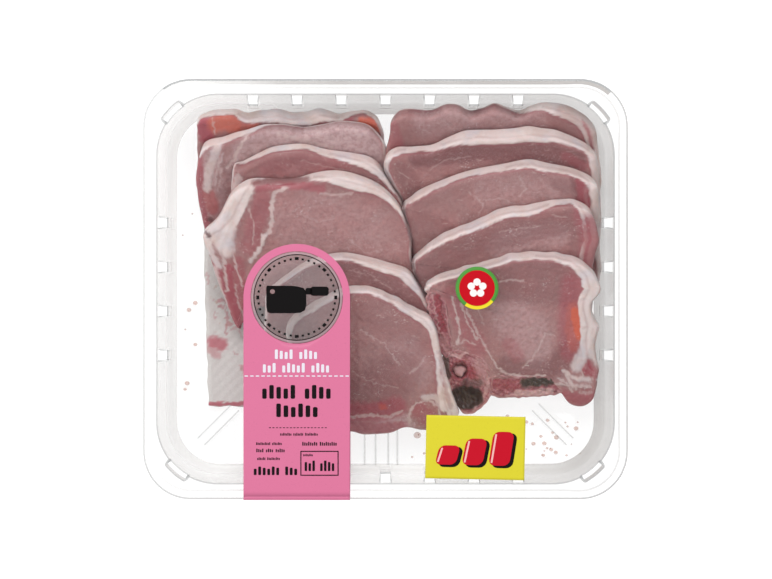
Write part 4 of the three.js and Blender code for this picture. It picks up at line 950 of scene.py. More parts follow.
def slab(row, layer, loop, out, rounding, blunt=1.0, upright=False, gap=0.7, rings=84):
    """A slice lying in its layer. Its profile is carried round the outline: over the under side from the middle
    out, round a quarter circle, up the cut side, which stands square to the sloping faces, round another quarter
    circle, and in over the top to the middle. Blunt scales the rounding at each station. Returns the points and
    how far up the slice each one is."""
    pitch = row["pitch"]
    ahead, behind = (row_height(row, loop[:, 0], loop[:, 1] + step) for step in (2.0, -2.0))
    rise = (ahead - behind) / 4.0
    lean = 0 * rise if upright else pitch * rise / (1 + rise ** 2)
    quarter = np.radians(np.linspace(0, 90, 6))
    upper = rounding * TOP_ROUNDING
    inset = np.concatenate([rounding * (1 - np.sin(quarter)), [0.0] * 5, upper * (1 - np.cos(quarter))])
    inset = inset[:, None] * (blunt + np.zeros(len(loop)))
    share = np.concatenate([rounding * (1 - np.cos(quarter)) / pitch, np.linspace(0.25, 0.75, 5),
                            1 - upper * (1 - np.sin(quarter)) / pitch])
    shift = (np.maximum(0, -out[:, 1]) * (1 - share[:, None]) - np.maximum(0, out[:, 1]) * share[:, None]) * lean
    side_x = loop[:, 0] - inset * out[:, 0]
    side_y = loop[:, 1] - inset * out[:, 1] + shift
    middle = loop[:, :2].mean(0)
    under = np.linspace(0.05, 1, 10)[:-1, None]
    over = np.linspace(1, 0.012, rings)[1:, None]
    wall = np.stack([side_x, side_y], -1)
    bottom = middle + (wall[0] - middle) * under[..., None]
    top = middle + (wall[-1] - middle) * over[..., None]
    plan = np.concatenate([bottom, wall, top])
    share = np.concatenate([np.zeros(len(bottom)), share, np.ones(len(top))])[:, None] + 0 * plan[..., 0]
    surface = row_height(row, plan[..., 0], plan[..., 1])
    low = np.maximum(surface + layer * pitch, row["floor"])
    high = np.maximum(surface + (layer + 1) * pitch - gap, low + 1)
    return np.dstack([plan, low + share * (high - low)]), share


def nearest_edge(x, y, loop):
    """Distance of each point to the outline, and the number of its nearest station."""
    flat_x, flat_y = x.ravel().astype(np.float32), y.ravel().astype(np.float32)
    distance, nearest = np.empty(flat_x.size, np.float32), np.empty(flat_x.size, int)
    edge = loop.astype(np.float32)
    for part in np.array_split(np.arange(flat_x.size), 24):
        d = np.hypot(flat_x[part, None] - edge[:, 0], flat_y[part, None] - edge[:, 1])
        nearest[part] = d.argmin(1)
        distance[part] = d[np.arange(len(part)), nearest[part]]
    return distance.reshape(x.shape), nearest.reshape(x.shape)


def build_chop(chop, material, relief, seed):
    """A slab whose tissues are worked out point by point: fat within its width of the edge, each stroke of red
    muscle, silver skin, darker, paler or glowing lean, or fat painted by distance, and painted shade low on the cut
    sides, between the rows and just in front of the fat edges at the back. Fat stands a little proud, seams lie in
    grooves, and the cut face has soft ripples about 9 and 3 mm long."""
    row = ROWS[chop["row"]]
    points = list(chop["back"]) + list(chop.get("front") or hidden_front(chop, row))
    loop, out = outline(points, CHOP_STATIONS, row["side"])
    along = np.arange(len(loop)) * 0.9
    loop[:, :2] -= out * (0.2 + 0.35 * ripples(along, along * 0 + seed, 11, seed))[:, None]
    loop[:, 1] += BACK_REACH * smoothstep(0.2, 0.8, out[:, 1])
    if chop["layer"] == FRONT_LAYER:
        loop[:, 1] -= FRONT_REACH * smoothstep(0.2, 0.7, -out[:, 1])
    blunt = 1.0
    if chop["name"] == AT_BONES:
        facing = smoothstep(0.1, 0.5, -out[:, 1]) * (1 - smoothstep(92, 97, loop[:, 0]))
        loop[:, :2] += UNDER_BONES * out * facing[:, None]
        blunt = 0.45 + 0.55 * smoothstep(-0.2, 0.9, out[:, 1])
    points, share = slab(row, chop["layer"], loop, out, CHOP_ROUNDING, blunt)
    x, y, z = points[..., 0], points[..., 1], points[..., 2]
    distance, nearest = nearest_edge(x, y, loop)
    width, backward = loop[nearest, 2], out[nearest, 1]
    wander = 0.26 * ripples(x, y, 13, seed + 1) + 0.16 * ripples(x, y, 4, seed + 2)
    fat = (1 - smoothstep(-0.4, 0.4, distance - width + wander * np.clip(width / 3, 0.2, 1.4))) * (width > 0.6)
    core = np.exp(-((distance - 0.62 * width + wander) / 0.7) ** 2) * (width > 5) * 0.3
    values = {kind: np.zeros(x.shape) for kind in ("fat", "red", "seam", "dark", "glow", "deep", "pale", "bare")}
    ragged_x = x + 0.5 * ripples(x, y, 4, seed + 3) + 0.3 * ripples(x, y, 1.8, seed + 7)
    ragged_y = y + 0.5 * ripples(x, y, 4, seed + 4) + 0.3 * ripples(x, y, 1.8, seed + 8)
    for kind, strength, breadth, line in MARKS[chop["name"]]:
        breadth = breadth * (1.35 if kind in ("glow", "deep", "pale") else 1)
        values[kind] = np.maximum(values[kind], strength * stroke(ragged_x, ragged_y, line, breadth))
    edge_line = np.exp(-((distance - width - 0.7 + wander) / 0.5) ** 2) * (width > 1.2) * 0.3
    # Painted shade on the lean just in front of the fat along the back edges, fading over about 4 mm
    behind = np.exp(-np.clip(distance - width, 0, 40) / 4) * smoothstep(0, 0.6, backward) * (width > 1.2)
    fat = np.maximum(fat * (1 - values["bare"]), values["fat"]) - core * fat
    red = np.maximum(values["red"], edge_line) * (1 - 0.6 * fat)
    # Painted shade on the lower part of each cut side, less on fat
    under = smoothstep(0.2, 0.8, 1 - share) * (0.4 - 0.3 * fat)
    # Dark between the rows, where no light reaches
    crevice = np.interp(y, CREVICE[:, 0], CREVICE[:, 1])
    under = np.maximum(under, 0.85 * np.exp(-((x - crevice) / 1.2) ** 2) * (1 - smoothstep(58, 74, y)))
    tissue = np.stack([fat, red, values["seam"] * (1 - fat), np.maximum(values["dark"], under)], -1)
    tints = np.stack([values["glow"] * (1 - fat), np.maximum(values["deep"], 0.45 * behind), values["pale"],
                      0 * x + 1], -1)
    lift = relief * (0.9 * ripples(x, y, 9, seed + 5) + 0.5 * ripples(x, y, 3.2, seed + 6) - 0.6)
    lift = lift + 0.3 * fat - 0.28 * values["seam"] - 0.25 * edge_line
    points[..., 2] = z + lift * (share >= 0.999) * smoothstep(0, 3, distance)
    name = "chop_" + chop["name"]
    piece = skin(name, points, points[0].mean(0), points[-1].mean(0),
                 attributes={"tissue": np.clip(tissue, 0, 1), "tints": np.clip(tints, 0, 1)})
    finish_piece(piece, material, "lean_meat", name + "_lean", name + "_fat")


def build_bones(material, marrow):
    """Upright slabs in the layer of the front right chop. The vertebra has a hollow, its depth falling off as a
    bell curve, and a round canal with the cord in it."""
    row = ROWS["right"]
    for number, (name, points) in enumerate(BONES.items()):
        loop, out = outline(points, BONE_STATIONS, 0)
        along = np.arange(len(loop)) * 0.5
        loop[:, :2] += out * (1.2 + 0.45 * ripples(along, along * 0, 5, number + 60))[:, None]
        if name == "rib_bone":
            loop[:, 1] += 2.8 * smoothstep(0.1, 0.6, -out[:, 1])
        points, share = slab(row, BONE_LAYER, loop, out, BONE_ROUNDING, 0.7, upright=True, gap=0.5, rings=60)
        x, y = points[..., 0], points[..., 1]
        distance, _ = nearest_edge(x, y, loop)
        wavy_x, wavy_y = x + 0.6 * ripples(x, y, 4, number + 70), y + 0.6 * ripples(x, y, 4, number + 80)
        tissue = np.zeros((*x.shape, 4))
        tissue[..., 0] = 0.4 * (1 - smoothstep(0.6, 1.8, distance + 0.6 * ripples(x, y, 5, number)))
        # Painted shade down the cut sides
        tissue[..., 3] = 0.5 * (1 - smoothstep(0.2, 0.8, share))
        lift = 0.4 * ripples(x, y, 5, number + 20) + 0.25 * ripples(x, y, 2, number + 30) - 0.5
        for channel, strength, breadth, line in BONE_MARKS[name]:
            tissue[..., channel] = np.maximum(tissue[..., channel], strength * stroke(wavy_x, wavy_y, line, breadth))
        if name == "vertebra":
            pit = np.exp(-(((wavy_x - HOLLOW[0]) / 8.6) ** 2 + ((wavy_y - HOLLOW[1]) / 6.2) ** 2) ** 2)
            from_cord = np.hypot(wavy_x - CORD[0], wavy_y - CORD[1])
            canal = np.exp(-(from_cord / 4.2) ** 5)
            collar = np.exp(-(from_cord - 5.0) ** 2)
            lift = lift - HOLLOW_DEPTH * pit - 4.2 * canal + 0.6 * collar
            # Painted shade in the hollow and the canal
            tissue[..., 3] = np.maximum(tissue[..., 3], 0.95 * smoothstep(0.08, 0.45, pit))
            tissue[..., 3] = np.maximum(tissue[..., 3], 0.5 * canal)
            tissue[..., 1] = np.maximum(tissue[..., 1], 0.6 * collar)
        lift = lift + 0.35 * tissue[..., 0]
        points[..., 2] += lift * smoothstep(0.6, 1, share) * smoothstep(0, 2.0, distance)
        piece = skin(name, points, points[0].mean(0), points[-1].mean(0), attributes={"tissue": tissue})
        finish_piece(piece, material, "bone", name)
    angle = np.linspace(0, math.tau, 40, endpoint=False)
    tilt = np.radians(np.linspace(-80, 84, 18))[:, None]
    wobble = 1 + 0.13 * np.sin(3 * angle) + 0.08 * np.sin(5 * angle + 1) + 0.08 * np.sin(2 * angle + 2)
    top = row_height(row, np.array(CORD[0]), np.array(CORD[1])) + (BONE_LAYER + 1) * row["pitch"] - 1.4
    reach = CORD_RADIUS * np.cos(tilt) ** 0.6 * wobble
    cord = np.stack([CORD[0] + reach * np.cos(angle), CORD[1] + reach * np.sin(angle),
                     top - 2.6 + 1.9 * np.sin(tilt) + 0 * angle], -1)
    piece = skin("spinal_cord", cord, cord[0].mean(0), cord[-1].mean(0),
                 attributes={"tissue": np.zeros((*cord.shape[:2], 4)) + (0.3, 0.45, 0, 0)})
    finish_piece(piece, marrow, "marrow", "spinal_cord")


def build_pad():
    """A flat quilted pad: a closed slab whose top has an embossed dimple every 6 mm and frayed edges, stained
    where juice has soaked in."""
    left, right, front, back, low, high = PAD
    u, v = np.linspace(0, 1, 150), np.linspace(0, 1, 230)
    x, y = np.meshgrid(left + (right - left) * u, front + (back - front) * v)
    # The left edge slants in towards the front
    x = x + 0.034 * np.clip(8 - y, 0, 80) * (1 - (x - left) / (right - left))
    edge = np.minimum.reduce([(right - left) * u[None] + 0 * y, right - x, y - front, back - y])
    x = x + 0.35 * ripples(x * 0, y, 8, 3) * (1 - smoothstep(0, 6, edge))
    y = y + 0.35 * ripples(x, y * 0, 8, 4) * (1 - smoothstep(0, 6, edge))
    dimples = np.cos(math.tau * x / DIMPLE_PITCH) * np.cos(math.tau * y / DIMPLE_PITCH)
    top = low + 0.35 + (high - low - 0.75) * smoothstep(0, 2.2, edge) + 0.16 * dimples * smoothstep(1, 4, edge)
    top = top + 0.15 * ripples(x, y, 25, 6)
    tints = np.zeros((*x.shape, 4))
    ragged_x, ragged_y = x + 0.7 * ripples(x, y, 3, 8), y + 0.7 * ripples(x, y, 3, 9)
    for strength, breadth, line in PAD_STAINS:
        tints[..., 0] = np.maximum(tints[..., 0], strength * stroke(ragged_x, ragged_y, line, breadth))
    blots = smoothstep(0.35, 0.8, ripples(x, y, 3.2, 14) + ripples(x, y, 9, 15) - 0.35)
    beside_chop = smoothstep(-98, -92, x) * (1 - smoothstep(8, 16, np.abs(y + 10)))
    tints[..., 0] = np.maximum(tints[..., 0], 0.5 * blots * beside_chop)
    tints[..., 1] = 0.55 * smoothstep(0.7, 1.0, ripples(x, y, 2.6, 16) + 0.4 * ripples(x, y, 12, 17)) * beside_chop
    upper = np.stack([x, y, top], -1)
    lower = np.stack([x, y, np.full_like(x, low)], -1)
    rows, columns = x.shape
    index = np.arange(rows * columns).reshape(rows, columns)
    rim = np.concatenate([index[0, :-1], index[:-1, -1], index[-1, :0:-1], index[:0:-1, 0]])
    sides = np.stack([rim, np.roll(rim, -1), np.roll(rim, -1) + rows * columns, rim + rows * columns], 1)
    faces = grid_faces(rows, columns, False)
    faces = np.vstack([faces[:, ::-1], faces + rows * columns, sides])
    piece = mesh_object("absorbent_pad", np.vstack([lower.reshape(-1, 3), upper.reshape(-1, 3)]), faces,
                        attributes={"tints": np.vstack([tints.reshape(-1, 4)] * 2)})
    # Creped tissue over pulp: matte, with fibres under a millimetre long
    material, shader = new_material("creped_tissue_pad", Roughness=0.9, Specular_IOR_Level=0.2)
    juice, rust, *_ = channels(material, "tints")
    fibres = noise(material, 0.9, 4, 0.7)
    colour = mix(material, ramp(material, fibres, 0.3, 0.75), linear("#d6d2cf"), linear("#e6e3e0"))
    colour = mix(material, juice, colour, linear("#c04a60"))
    colour = mix(material, rust, colour, linear("#c08a6c"))
    link_colour(material, shader, colour)
    bump(material, shader, fibres, 0.5, 0.3)
    finish_piece(piece, material, "pad", "absorbent_pad")


def build_drops(count):
    """Drops of thinned juice on the tray's floor: low domes, each the upper half of a flat ellipsoid, all in one
    mesh. They gather at the front right, below the chops, and a few lie at the middle and the left."""
    random = np.random.default_rng(11)
    middle, left = 6, 8
    right = max(0, count - middle - left)
    x = [random.uniform(*span) for span in ((66, 108, right), (10, 66, middle), (-112, -104, left))]
    y = [random.uniform(*span) for span in ((-92, -70, right), (-96, -80, middle), (-60, 60, left))]
    x, y = np.concatenate(x), np.concatenate(y)
    radius = random.uniform(0.4, 1.4, len(x))
    x, y, radius = np.append(x, 17.5), np.append(y, -80.5), np.append(radius, 2.1)
    angle = np.linspace(0, math.tau, 18, endpoint=False)
    tilt = np.radians(np.array((0, 18, 38, 58, 76)))[:, None]
    rings, sides = len(tilt), len(angle)
    dome = np.stack([np.cos(tilt) * np.cos(angle), np.cos(tilt) * np.sin(angle) * 0.85,
                     (np.sin(tilt) + 0 * angle) * 0.28], -1).reshape(-1, 3)
    dome = np.vstack([dome, [(0, 0, 0), (0, 0, 0.28)]])
    vertices, faces, tips = [], [], []
    for number, (cx, cy, r) in enumerate(zip(x, y, radius)):
        base = floor_height(np.array(cx), np.array(cy)) - 0.02
        vertices.append((cx, cy, base) + r * dome)
        start = number * len(dome)
        low = start + np.arange(sides)
        top = low + (rings - 1) * sides
        faces.append(grid_faces(rings, sides, True) + start)
        tips.append(np.stack([np.full(sides, start + len(dome) - 2), np.roll(low, -1), low], 1))
        tips.append(np.stack([np.full(sides, start + len(dome) - 1), top, np.roll(top, -1)], 1))
    piece = mesh_object("juice_drops", np.vstack(vertices), np.vstack(faces), np.vstack(tips))
    # Thinned blood and water: clear pink, glossy
    material, _ = new_material("meat_juice", Base_Color=linear("#f6b79d"), Roughness=0.25, IOR=1.34, Alpha=0.3)
    finish_piece(piece, material, "lean_meat")


# Label and stickers

def flat_piece(name, shapes, z, colour, slot, roughness=0.4, alpha=1.0):
    """Flat printed shapes at one height. Each is a strip of quads between two rails of points, so that rings,
    bars and blades are all the surface between two lines."""
    vertices, faces, start = [], [], 0
    for inner, outer, closed in shapes:
        count = len(inner)
        vertices.append(np.column_stack([np.vstack([inner, outer]), np.full(2 * count, z)]))
        i = np.arange(count if closed else count - 1)
        j = (i + 1) % count
        faces.append(np.stack([i, j, j + count, i + count], 1) + start)
        start += 2 * count
    vertices, faces = np.vstack(vertices), np.vstack(faces)
    a, b, c = (vertices[faces[:, k]] for k in (0, 1, 2))
    backwards = np.cross(b - a, c - a)[:, 2] < 0
    faces[backwards] = faces[backwards][:, ::-1]
    piece = mesh_object(name, vertices, faces, smooth=False, closed=False)
    thicken(piece, INK, 1.0)
    # Printing ink: an even matte film, or clear sheet where it lets light past
    ink = new_material(name + ("_ink" if alpha == 1 else "_sheet"), Base_Color=linear(colour), Roughness=roughness,
                       Specular_IOR_Level=0.12, Alpha=alpha)[0]
    finish_piece(piece, ink, slot)


def bar(x0, x1, y0, y1, slant=0.0):
    """A bar with rounded ends, between its upper and lower rail. A slant moves its top to the right."""
    r = min((y1 - y0) / 2, (x1 - x0) / 2) * 0.6
    t = np.radians(np.linspace(0, 90, 5))
    x = np.concatenate([x0 + r * (1 - np.sin(t[::-1])), x1 - r * (1 - np.sin(t))])
    lift = np.concatenate([r * (1 - np.cos(t[::-1])), r * (1 - np.cos(t))])
    low, high = y0 + lift, y1 - lift
    steep = slant / (y1 - y0)
    return (np.column_stack([x + steep * (low - y0), low]), np.column_stack([x + steep * (high - y0), high]), False)


def ring(cx, cy, inner, outer, start=0.0, end=360.0, count=96):
    """An annulus, or a part of one between two angles in degrees."""
    whole = end - start >= 360
    t = np.radians(np.linspace(start, end, count, endpoint=not whole))
    way = np.column_stack([np.cos(t), np.sin(t)])
    return (way * inner + (cx, cy), way * outer + (cx, cy), whole)


def words(x0, x1, y0, y1, shares):
    """A line of words stood for by upright strokes of three heights, an even pitch apart, with gaps between words
    of the given shares of the line."""
    height = y1 - y0
    pitch = min(height * 0.52, (x1 - x0) / (sum(shares) + len(shares) - 1))
    pitch = (x1 - x0) / round((x1 - x0) / pitch)
    slots = np.arange(round((x1 - x0) / pitch))
    ends = np.cumsum(np.array(shares) + 1) / (sum(shares) + len(shares)) * len(slots)
    gaps = {int(round(end)) - 1 for end in ends[:-1]}
    strokes = []
    for k in slots:
        if k not in gaps:
            left = x0 + (k + 0.18) * pitch
            tall = (1.0, 0.74, 0.86)[(k * 5 + len(slots)) % 3]
            strokes.append(bar(left, left + 0.62 * pitch, y0, y0 + tall * height))
    return strokes


def build_label(settings):
    """The front: a skin between the round window and the label's outline, an arch on a strip, each edge point
    joined to the window's by a straight line. The wrap: the strip's path over the rim, down past the wall and
    back under the base, carried across the width."""
    half = settings.width / MM / 2
    window = settings.window / MM
    arch = np.radians(np.linspace(0, 180, 90))
    top_y, foot_y = LABEL_TOP - half, LABEL_FOLD + 2
    head = np.column_stack([half * np.cos(arch), top_y + half * np.sin(arch)])
    left = np.column_stack([np.full(60, -half), np.linspace(top_y, foot_y, 61)[1:]])
    foot = np.column_stack([np.linspace(-half, half, 50)[1:-1], np.full(48, foot_y)])
    right = np.column_stack([np.full(60, half), np.linspace(foot_y, top_y, 61)[:-1]])
    edge = np.vstack([head, left, foot, right])
    way = edge - (0, WINDOW_Y)
    hole = way / np.hypot(*way.T)[:, None] * window + (0, WINDOW_Y)
    t = np.linspace(0, 1, 30)[:, None, None]
    plan = hole + (edge - hole) * t
    plan[..., 0] += LABEL_X
    paper = paper_material("coated_label_paper", tuple(settings.paper))
    front = skin("price_label", np.dstack([plan, np.full(plan.shape[:2], LABEL_Z)]), closed=False)
    thicken(front, PAPER)
    finish_piece(front, paper, "label_paper", "price_label")
    # Over the rim, down past the wall and back under the base, as (y, z)
    path = np.array([(LABEL_FOLD + 2.01, LABEL_Z), (LABEL_FOLD + 1.1, LABEL_Z), (LABEL_FOLD + 0.4, LABEL_Z - 0.3),
                     (LABEL_FOLD + 0.05, LABEL_Z - 1.0), (LABEL_FOLD, 48.5), (LABEL_FOLD, 46.4),
                     (-113.8, 42), (-111, 31), (-108, 18.5), (-104.9, 6.2), (-104.1, 4.2), (-102.6, 2.4), (-101, 1.3),
                     (-98.5, 0.85), (-96, UNDER_Z), (-80, UNDER_Z), (LABEL_UNDER, UNDER_Z)])
    across = np.linspace(LABEL_X - half, LABEL_X + half, 30)
    y, z = evenly(path, 150).T[..., None] + 0 * across
    wrap = skin("label_wrap", np.stack([across + 0 * y, y, z], -1), closed_columns=False, closed=False)
    thicken(wrap, PAPER)
    finish_piece(wrap, paper, "label_paper", "price_label")


def build_window(settings):
    """The label's clear window: a disc of film with a frosted ring at its edge, and the black emblem printed on
    it, a cleaver in a ring of ticks."""
    radius = settings.window / MM
    x, y = LABEL_X, WINDOW_Y
    film = disc("label_window", x, y, radius - 0.3, LABEL_Z - 0.05, 120, np.linspace(0.04, 1, 16))
    thicken(film, 0.06, 1.0)
    plastic = clear_plastic("clear_label_film", (0.82, 0.79, 0.8), 0.1, 0.15)
    finish_piece(film, plastic, "film", "label_window")
    inner, outer, _ = ring(x, y, *FROST)
    edge = np.dstack([np.stack([inner, outer]), np.full((2, len(inner)), PRINT_Z - 0.02)])
    frost = mesh_object("window_frost", edge.reshape(-1, 3), grid_faces(2, len(inner), True), closed=False,
                        smooth=False)
    face_up(frost)
    finish_piece(frost, clear_plastic("frosted_window_edge", (0.8, 0.68, 0.71), 0.5, 0.4), "film")
    # The blade is a skin between its hole and its outline, a box from low to high round the hole's centre
    centre = np.array([x - 13.2, y + 3.2])
    low, high = np.array([x - 16.6, y - 8.6]), np.array([x + 5.2, y + 6.4])
    t = np.radians(np.linspace(0, 360, 48, endpoint=False))
    way = np.column_stack([np.cos(t), np.sin(t)])
    reach = np.where(way > 0, (high - centre) / np.maximum(way, 1e-6), (low - centre) / np.minimum(way, -1e-6))
    outer = relaxed(centre + way * np.abs(reach).min(1)[:, None])
    emblem = [(centre + 1.3 * way, outer, True), bar(x + 4.8, x + 8.2, y + 1.6, y + 5.2),
              bar(x + 7.4, x + 17.4, y + 0.9, y + 5.9), ring(x, y, 23.05, 23.55)]
    for tick in range(TICKS):
        wide, long = (3.4, 1.1) if tick % 5 else (5.6, 1.6)
        mid = 90 + tick * 360 / TICKS
        emblem.append(ring(x, y, 20.4, 20.4 + long, mid - wide / 2, mid + wide / 2, 8))
    flat_piece("window_print", emblem, PRINT_Z, "#0d0a0b", "film", 0.7)


def in_mm(left, right, foot, head):
    """A box of the picture, from pixels to mm."""
    x0, x1 = ((value - PICTURE_MIDDLE[0]) * PER_PIXEL for value in (left, right))
    y0, y1 = ((PICTURE_MIDDLE[1] - value) * PER_PIXEL for value in (foot, head))
    return x0, x1, y0, y1


def build_print():
    """The label's print, as bars and lines: white above the dashed line, black below, and a boxed figure."""
    white, black = ([stroke for *box, shares in lines for stroke in words(*in_mm(*box), shares)]
                    for lines in (WHITE_LINES, BLACK_LINES))
    for shapes, line, pitch, length in ((white, DASHES, 3.05, 1.95), (black, DOTS, 1.9, 1.1)):
        x0, x1, y0, y1 = in_mm(*line)
        shapes += [bar(at, at + length, y0, y1) for at in np.arange(x0, x1, pitch)]
    x0, x1, y0, y1 = in_mm(*PRICE_BOX)
    black += [bar(x0, x1, y0, y0 + 0.55), bar(x0, x1, y1 - 0.55, y1), bar(x0, x0 + 0.55, y0, y1),
              bar(x1 - 0.55, x1, y0, y1)]
    flat_piece("white_print", white, PRINT_Z, "#e6e0ea", "label_paper", 0.6)
    flat_piece("black_print", black, PRINT_Z, "#140d10", "label_paper", 0.7)


def turned(shapes, cx, cy, degrees):
    """The shapes turned about a point."""
    a = math.radians(degrees)
    turn = np.array([[math.cos(a), -math.sin(a)], [math.sin(a), math.cos(a)]])
    return [((i - (cx, cy)) @ turn.T + (cx, cy), (o - (cx, cy)) @ turn.T + (cx, cy), c) for i, o, c in shapes]


def build_stickers(settings):
    """The square sticker with three rising slanted blocks on their shadows, and the round one with its rings."""
    cx, cy, width, depth, turn = SIZE_STICKER
    gx, gy = np.meshgrid(np.linspace(-width / 2, width / 2, 40), np.linspace(-depth / 2, depth / 2, 26))
    a = math.radians(turn)
    plan_x, plan_y = cx + gx * math.cos(a) - gy * math.sin(a), cy + gx * math.sin(a) + gy * math.cos(a)
    grid = np.stack([plan_x, plan_y, np.full_like(plan_x, LABEL_Z)], -1)
    sheet = skin("size_sticker", grid, closed_columns=False, closed=False)
    thicken(sheet, PAPER)
    finish_piece(sheet, paper_material("glossy_sticker_paper", tuple(settings.sticker), 0.5), "yellow_sticker",
                 "size_sticker")
    shadow, face, shine = [], [], []
    for k, tall in enumerate((10.5, 14.5, 18.5)):
        x0, y0 = cx - 22 + 14.6 * k, cy - 9.6
        shadow.append(bar(x0 + 1.5, x0 + 13.2, y0 - 1.3, y0 + tall - 0.7, 2.6))
        face.append(bar(x0, x0 + 11.4, y0, y0 + tall, 2.6))
        shine.append(bar(x0 + 1.2, x0 + 2.2, y0 + 1.4, y0 + tall - 1.4, 2.3))
    flat_piece("sticker_shadow", turned(shadow, cx, cy, turn), PRINT_Z - 0.03, "#0f0a0b", "yellow_sticker", 0.6)
    flat_piece("sticker_blocks", turned(face, cx, cy, turn), PRINT_Z, "#c40b25", "yellow_sticker", 0.6)
    flat_piece("sticker_shine", turned(shine, cx, cy, turn), PRINT_Z + 0.025, "#f0b8b4", "yellow_sticker")
    cx, cy, radius = ROUND_STICKER
    base = disc("round_sticker", cx, cy, radius, LABEL_Z, 96, np.linspace(0.05, 1, 10))
    thicken(base, PAPER)
    green = paper_material("green_sticker_paper", hex_colour("#4b9436"), 0.5)
    finish_piece(base, green, "red_sticker", "round_sticker")
    flat_piece("round_disc", [ring(cx, cy, 0.01, radius - 2.0)], PRINT_Z - 0.03, "#c4061a", "red_sticker", 0.6)
    flat_piece("round_arc", [ring(cx, cy, radius - 1.9, radius - 0.1, 235, 320, 40)], PRINT_Z - 0.03, "#ecd832",
               "red_sticker")
    petals = []
    for petal in range(PETALS):
        mid = math.radians(90 + 360 / PETALS * petal)
        petals.append(ring(cx + 3.3 * math.cos(mid), cy + 3.3 * math.sin(mid), 0.01, 2.0, count=32))
    flat_piece("round_flower", petals, PRINT_Z, "#f6f0ee", "red_sticker")


def build_stage():
    """A white table and surround, a large soft light behind and above the pack, weaker ones at its sides, and a
    long-lens camera straight overhead that shows the picture's width at the height of the rim."""
    scene = bpy.context.scene
    floor_mesh = bpy.data.meshes.new("table")
    corners = [(x * TABLE_HALF, y * TABLE_HALF, 0) for x, y in ((-1, -1), (1, -1), (1, 1), (-1, 1))]
    floor_mesh.from_pydata(corners, [], [(0, 1, 2, 3)])
    floor = bpy.data.objects.new("table", floor_mesh)
    scene.collection.objects.link(floor)
    # A light table: opal acrylic lit from below, so that the clear tray shows by its edges
    white, _ = new_material("lit_opal_acrylic", Base_Color=linear("#a0a0a0"), Roughness=0.8, Specular_IOR_Level=0.1,
                            Emission_Color=(1, 1, 1, 1), Emission_Strength=TABLE_GLOW)
    floor_mesh.materials.append(white)
    world = bpy.data.worlds.new("white_surround")
    world.use_nodes = True
    background = world.node_tree.nodes["Background"]
    background.inputs["Color"].default_value = (1, 1, 1, 1)
    background.inputs["Strength"].default_value = SURROUND
    scene.world = world
    for name, place, size, power in SOFTBOXES:
        light = bpy.data.lights.new(name, "AREA")
        light.energy, light.size = power, size
        lamp = bpy.data.objects.new(name, light)
        lamp.location = place
        x, y, z = place
        lamp.rotation_euler = (math.atan2(math.hypot(x, y), z), 0, math.atan2(y, x) + math.pi / 2)
        scene.collection.objects.link(lamp)
    lens = bpy.data.cameras.new("overhead_camera")
    lens.sensor_width = 36
    lens.lens = lens.sensor_width * CAMERA_HEIGHT / (PICTURE_WIDTH * PER_PIXEL * MM)
    lens.clip_start, lens.clip_end = 0.05, 20
    camera = bpy.data.objects.new("overhead_camera", lens)
    camera.location = (0.27 * MM, 0.03 * MM, CAMERA_HEIGHT + RIM_Z * MM)
    scene.collection.objects.link(camera)
    scene.camera = camera
    scene.view_settings.view_transform = "Standard"


class PACK_OT_tray(bpy.types.Operator):
    """Builds the clear ribbed tray and its film"""
    bl_idname = "meat_pack.tray"
    bl_label = "Tray and film"

    def execute(self, context):
        build_tray(context.scene.tray_settings)
        build_floor_ribs()
        build_film(context.scene.tray_settings)
        return {"FINISHED"}


class PACK_OT_pad(bpy.types.Operator):
    """Builds the absorbent pad and the drops of juice"""
    bl_idname = "meat_pack.pad"
    bl_label = "Pad and juice"

    def execute(self, context):
        build_pad()
        build_drops(context.scene.meat_settings.drops)
        return {"FINISHED"}


class PACK_OT_chops(bpy.types.Operator):
    """Builds the two rows of chops and the bones"""
    bl_idname = "meat_pack.chops"
    bl_label = "Chops and bones"

    def execute(self, context):
        settings = context.scene.meat_settings
        pork = meat_material("raw_pork", tuple(settings.lean), tuple(settings.fat), "#5a3236", 0.45)
        marrow = meat_material("spinal_marrow", hex_colour("#b98f90"), tuple(settings.fat), "#5a3236", 0.3)
        for number, chop in enumerate(CHOPS):
            build_chop(chop, pork, settings.relief / MM, 40 + 9 * number)
        build_bones(bone_material(), marrow)
        return {"FINISHED"}


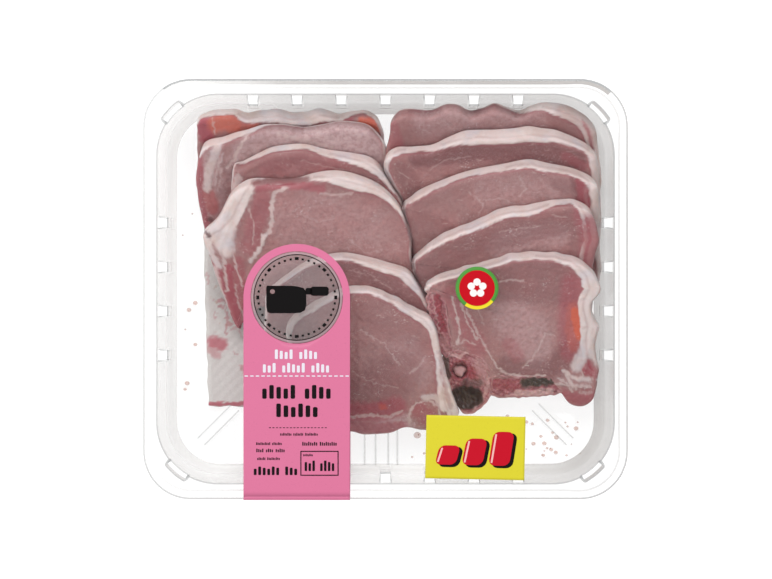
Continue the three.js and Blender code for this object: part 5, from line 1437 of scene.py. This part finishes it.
class PACK_OT_label(bpy.types.Operator):
    """Builds the wrap-round price label, its window and its print"""
    bl_idname = "meat_pack.label"
    bl_label = "Price label"

    def execute(self, context):
        build_label(context.scene.label_settings)
        build_window(context.scene.label_settings)
        build_print()
        return {"FINISHED"}


class PACK_OT_stickers(bpy.types.Operator):
    """Builds the square and the round sticker"""
    bl_idname = "meat_pack.stickers"
    bl_label = "Stickers"

    def execute(self, context):
        build_stickers(context.scene.label_settings)
        return {"FINISHED"}


class PACK_OT_stage(bpy.types.Operator):
    """Builds the white table, lights and camera"""
    bl_idname = "meat_pack.stage"
    bl_label = "Stage"

    def execute(self, context):
        build_stage()
        return {"FINISHED"}


OPERATORS = (PACK_OT_tray, PACK_OT_pad, PACK_OT_chops, PACK_OT_label, PACK_OT_stickers, PACK_OT_stage)


class PACK_PT_panel(bpy.types.Panel):
    """Lists the settings and the steps"""
    bl_label = "Meat Pack"
    bl_idname = "PACK_PT_panel"
    bl_space_type = "VIEW_3D"
    bl_region_type = "UI"
    bl_category = "Meat Pack"

    def draw(self, context):
        for group in (context.scene.tray_settings, context.scene.meat_settings, context.scene.label_settings):
            box = self.layout.box()
            for key in group.__annotations__:
                box.prop(group, key)
        for operator in OPERATORS:
            self.layout.operator(operator.bl_idname)


SETTINGS = (TraySettings, MeatSettings, LabelSettings)


def register():
    for item in (*SETTINGS, *OPERATORS, PACK_PT_panel):
        bpy.utils.register_class(item)
    bpy.types.Scene.tray_settings = PointerProperty(type=TraySettings)
    bpy.types.Scene.meat_settings = PointerProperty(type=MeatSettings)
    bpy.types.Scene.label_settings = PointerProperty(type=LabelSettings)


def unregister():
    del bpy.types.Scene.tray_settings, bpy.types.Scene.meat_settings, bpy.types.Scene.label_settings
    for item in reversed((*SETTINGS, *OPERATORS, PACK_PT_panel)):
        bpy.utils.unregister_class(item)


def main():
    register()
    bpy.ops.meat_pack.tray()
    bpy.ops.meat_pack.pad()
    bpy.ops.meat_pack.chops()
    bpy.ops.meat_pack.label()
    bpy.ops.meat_pack.stickers()
    bpy.ops.meat_pack.stage()


if __name__ == "__main__":
    main()
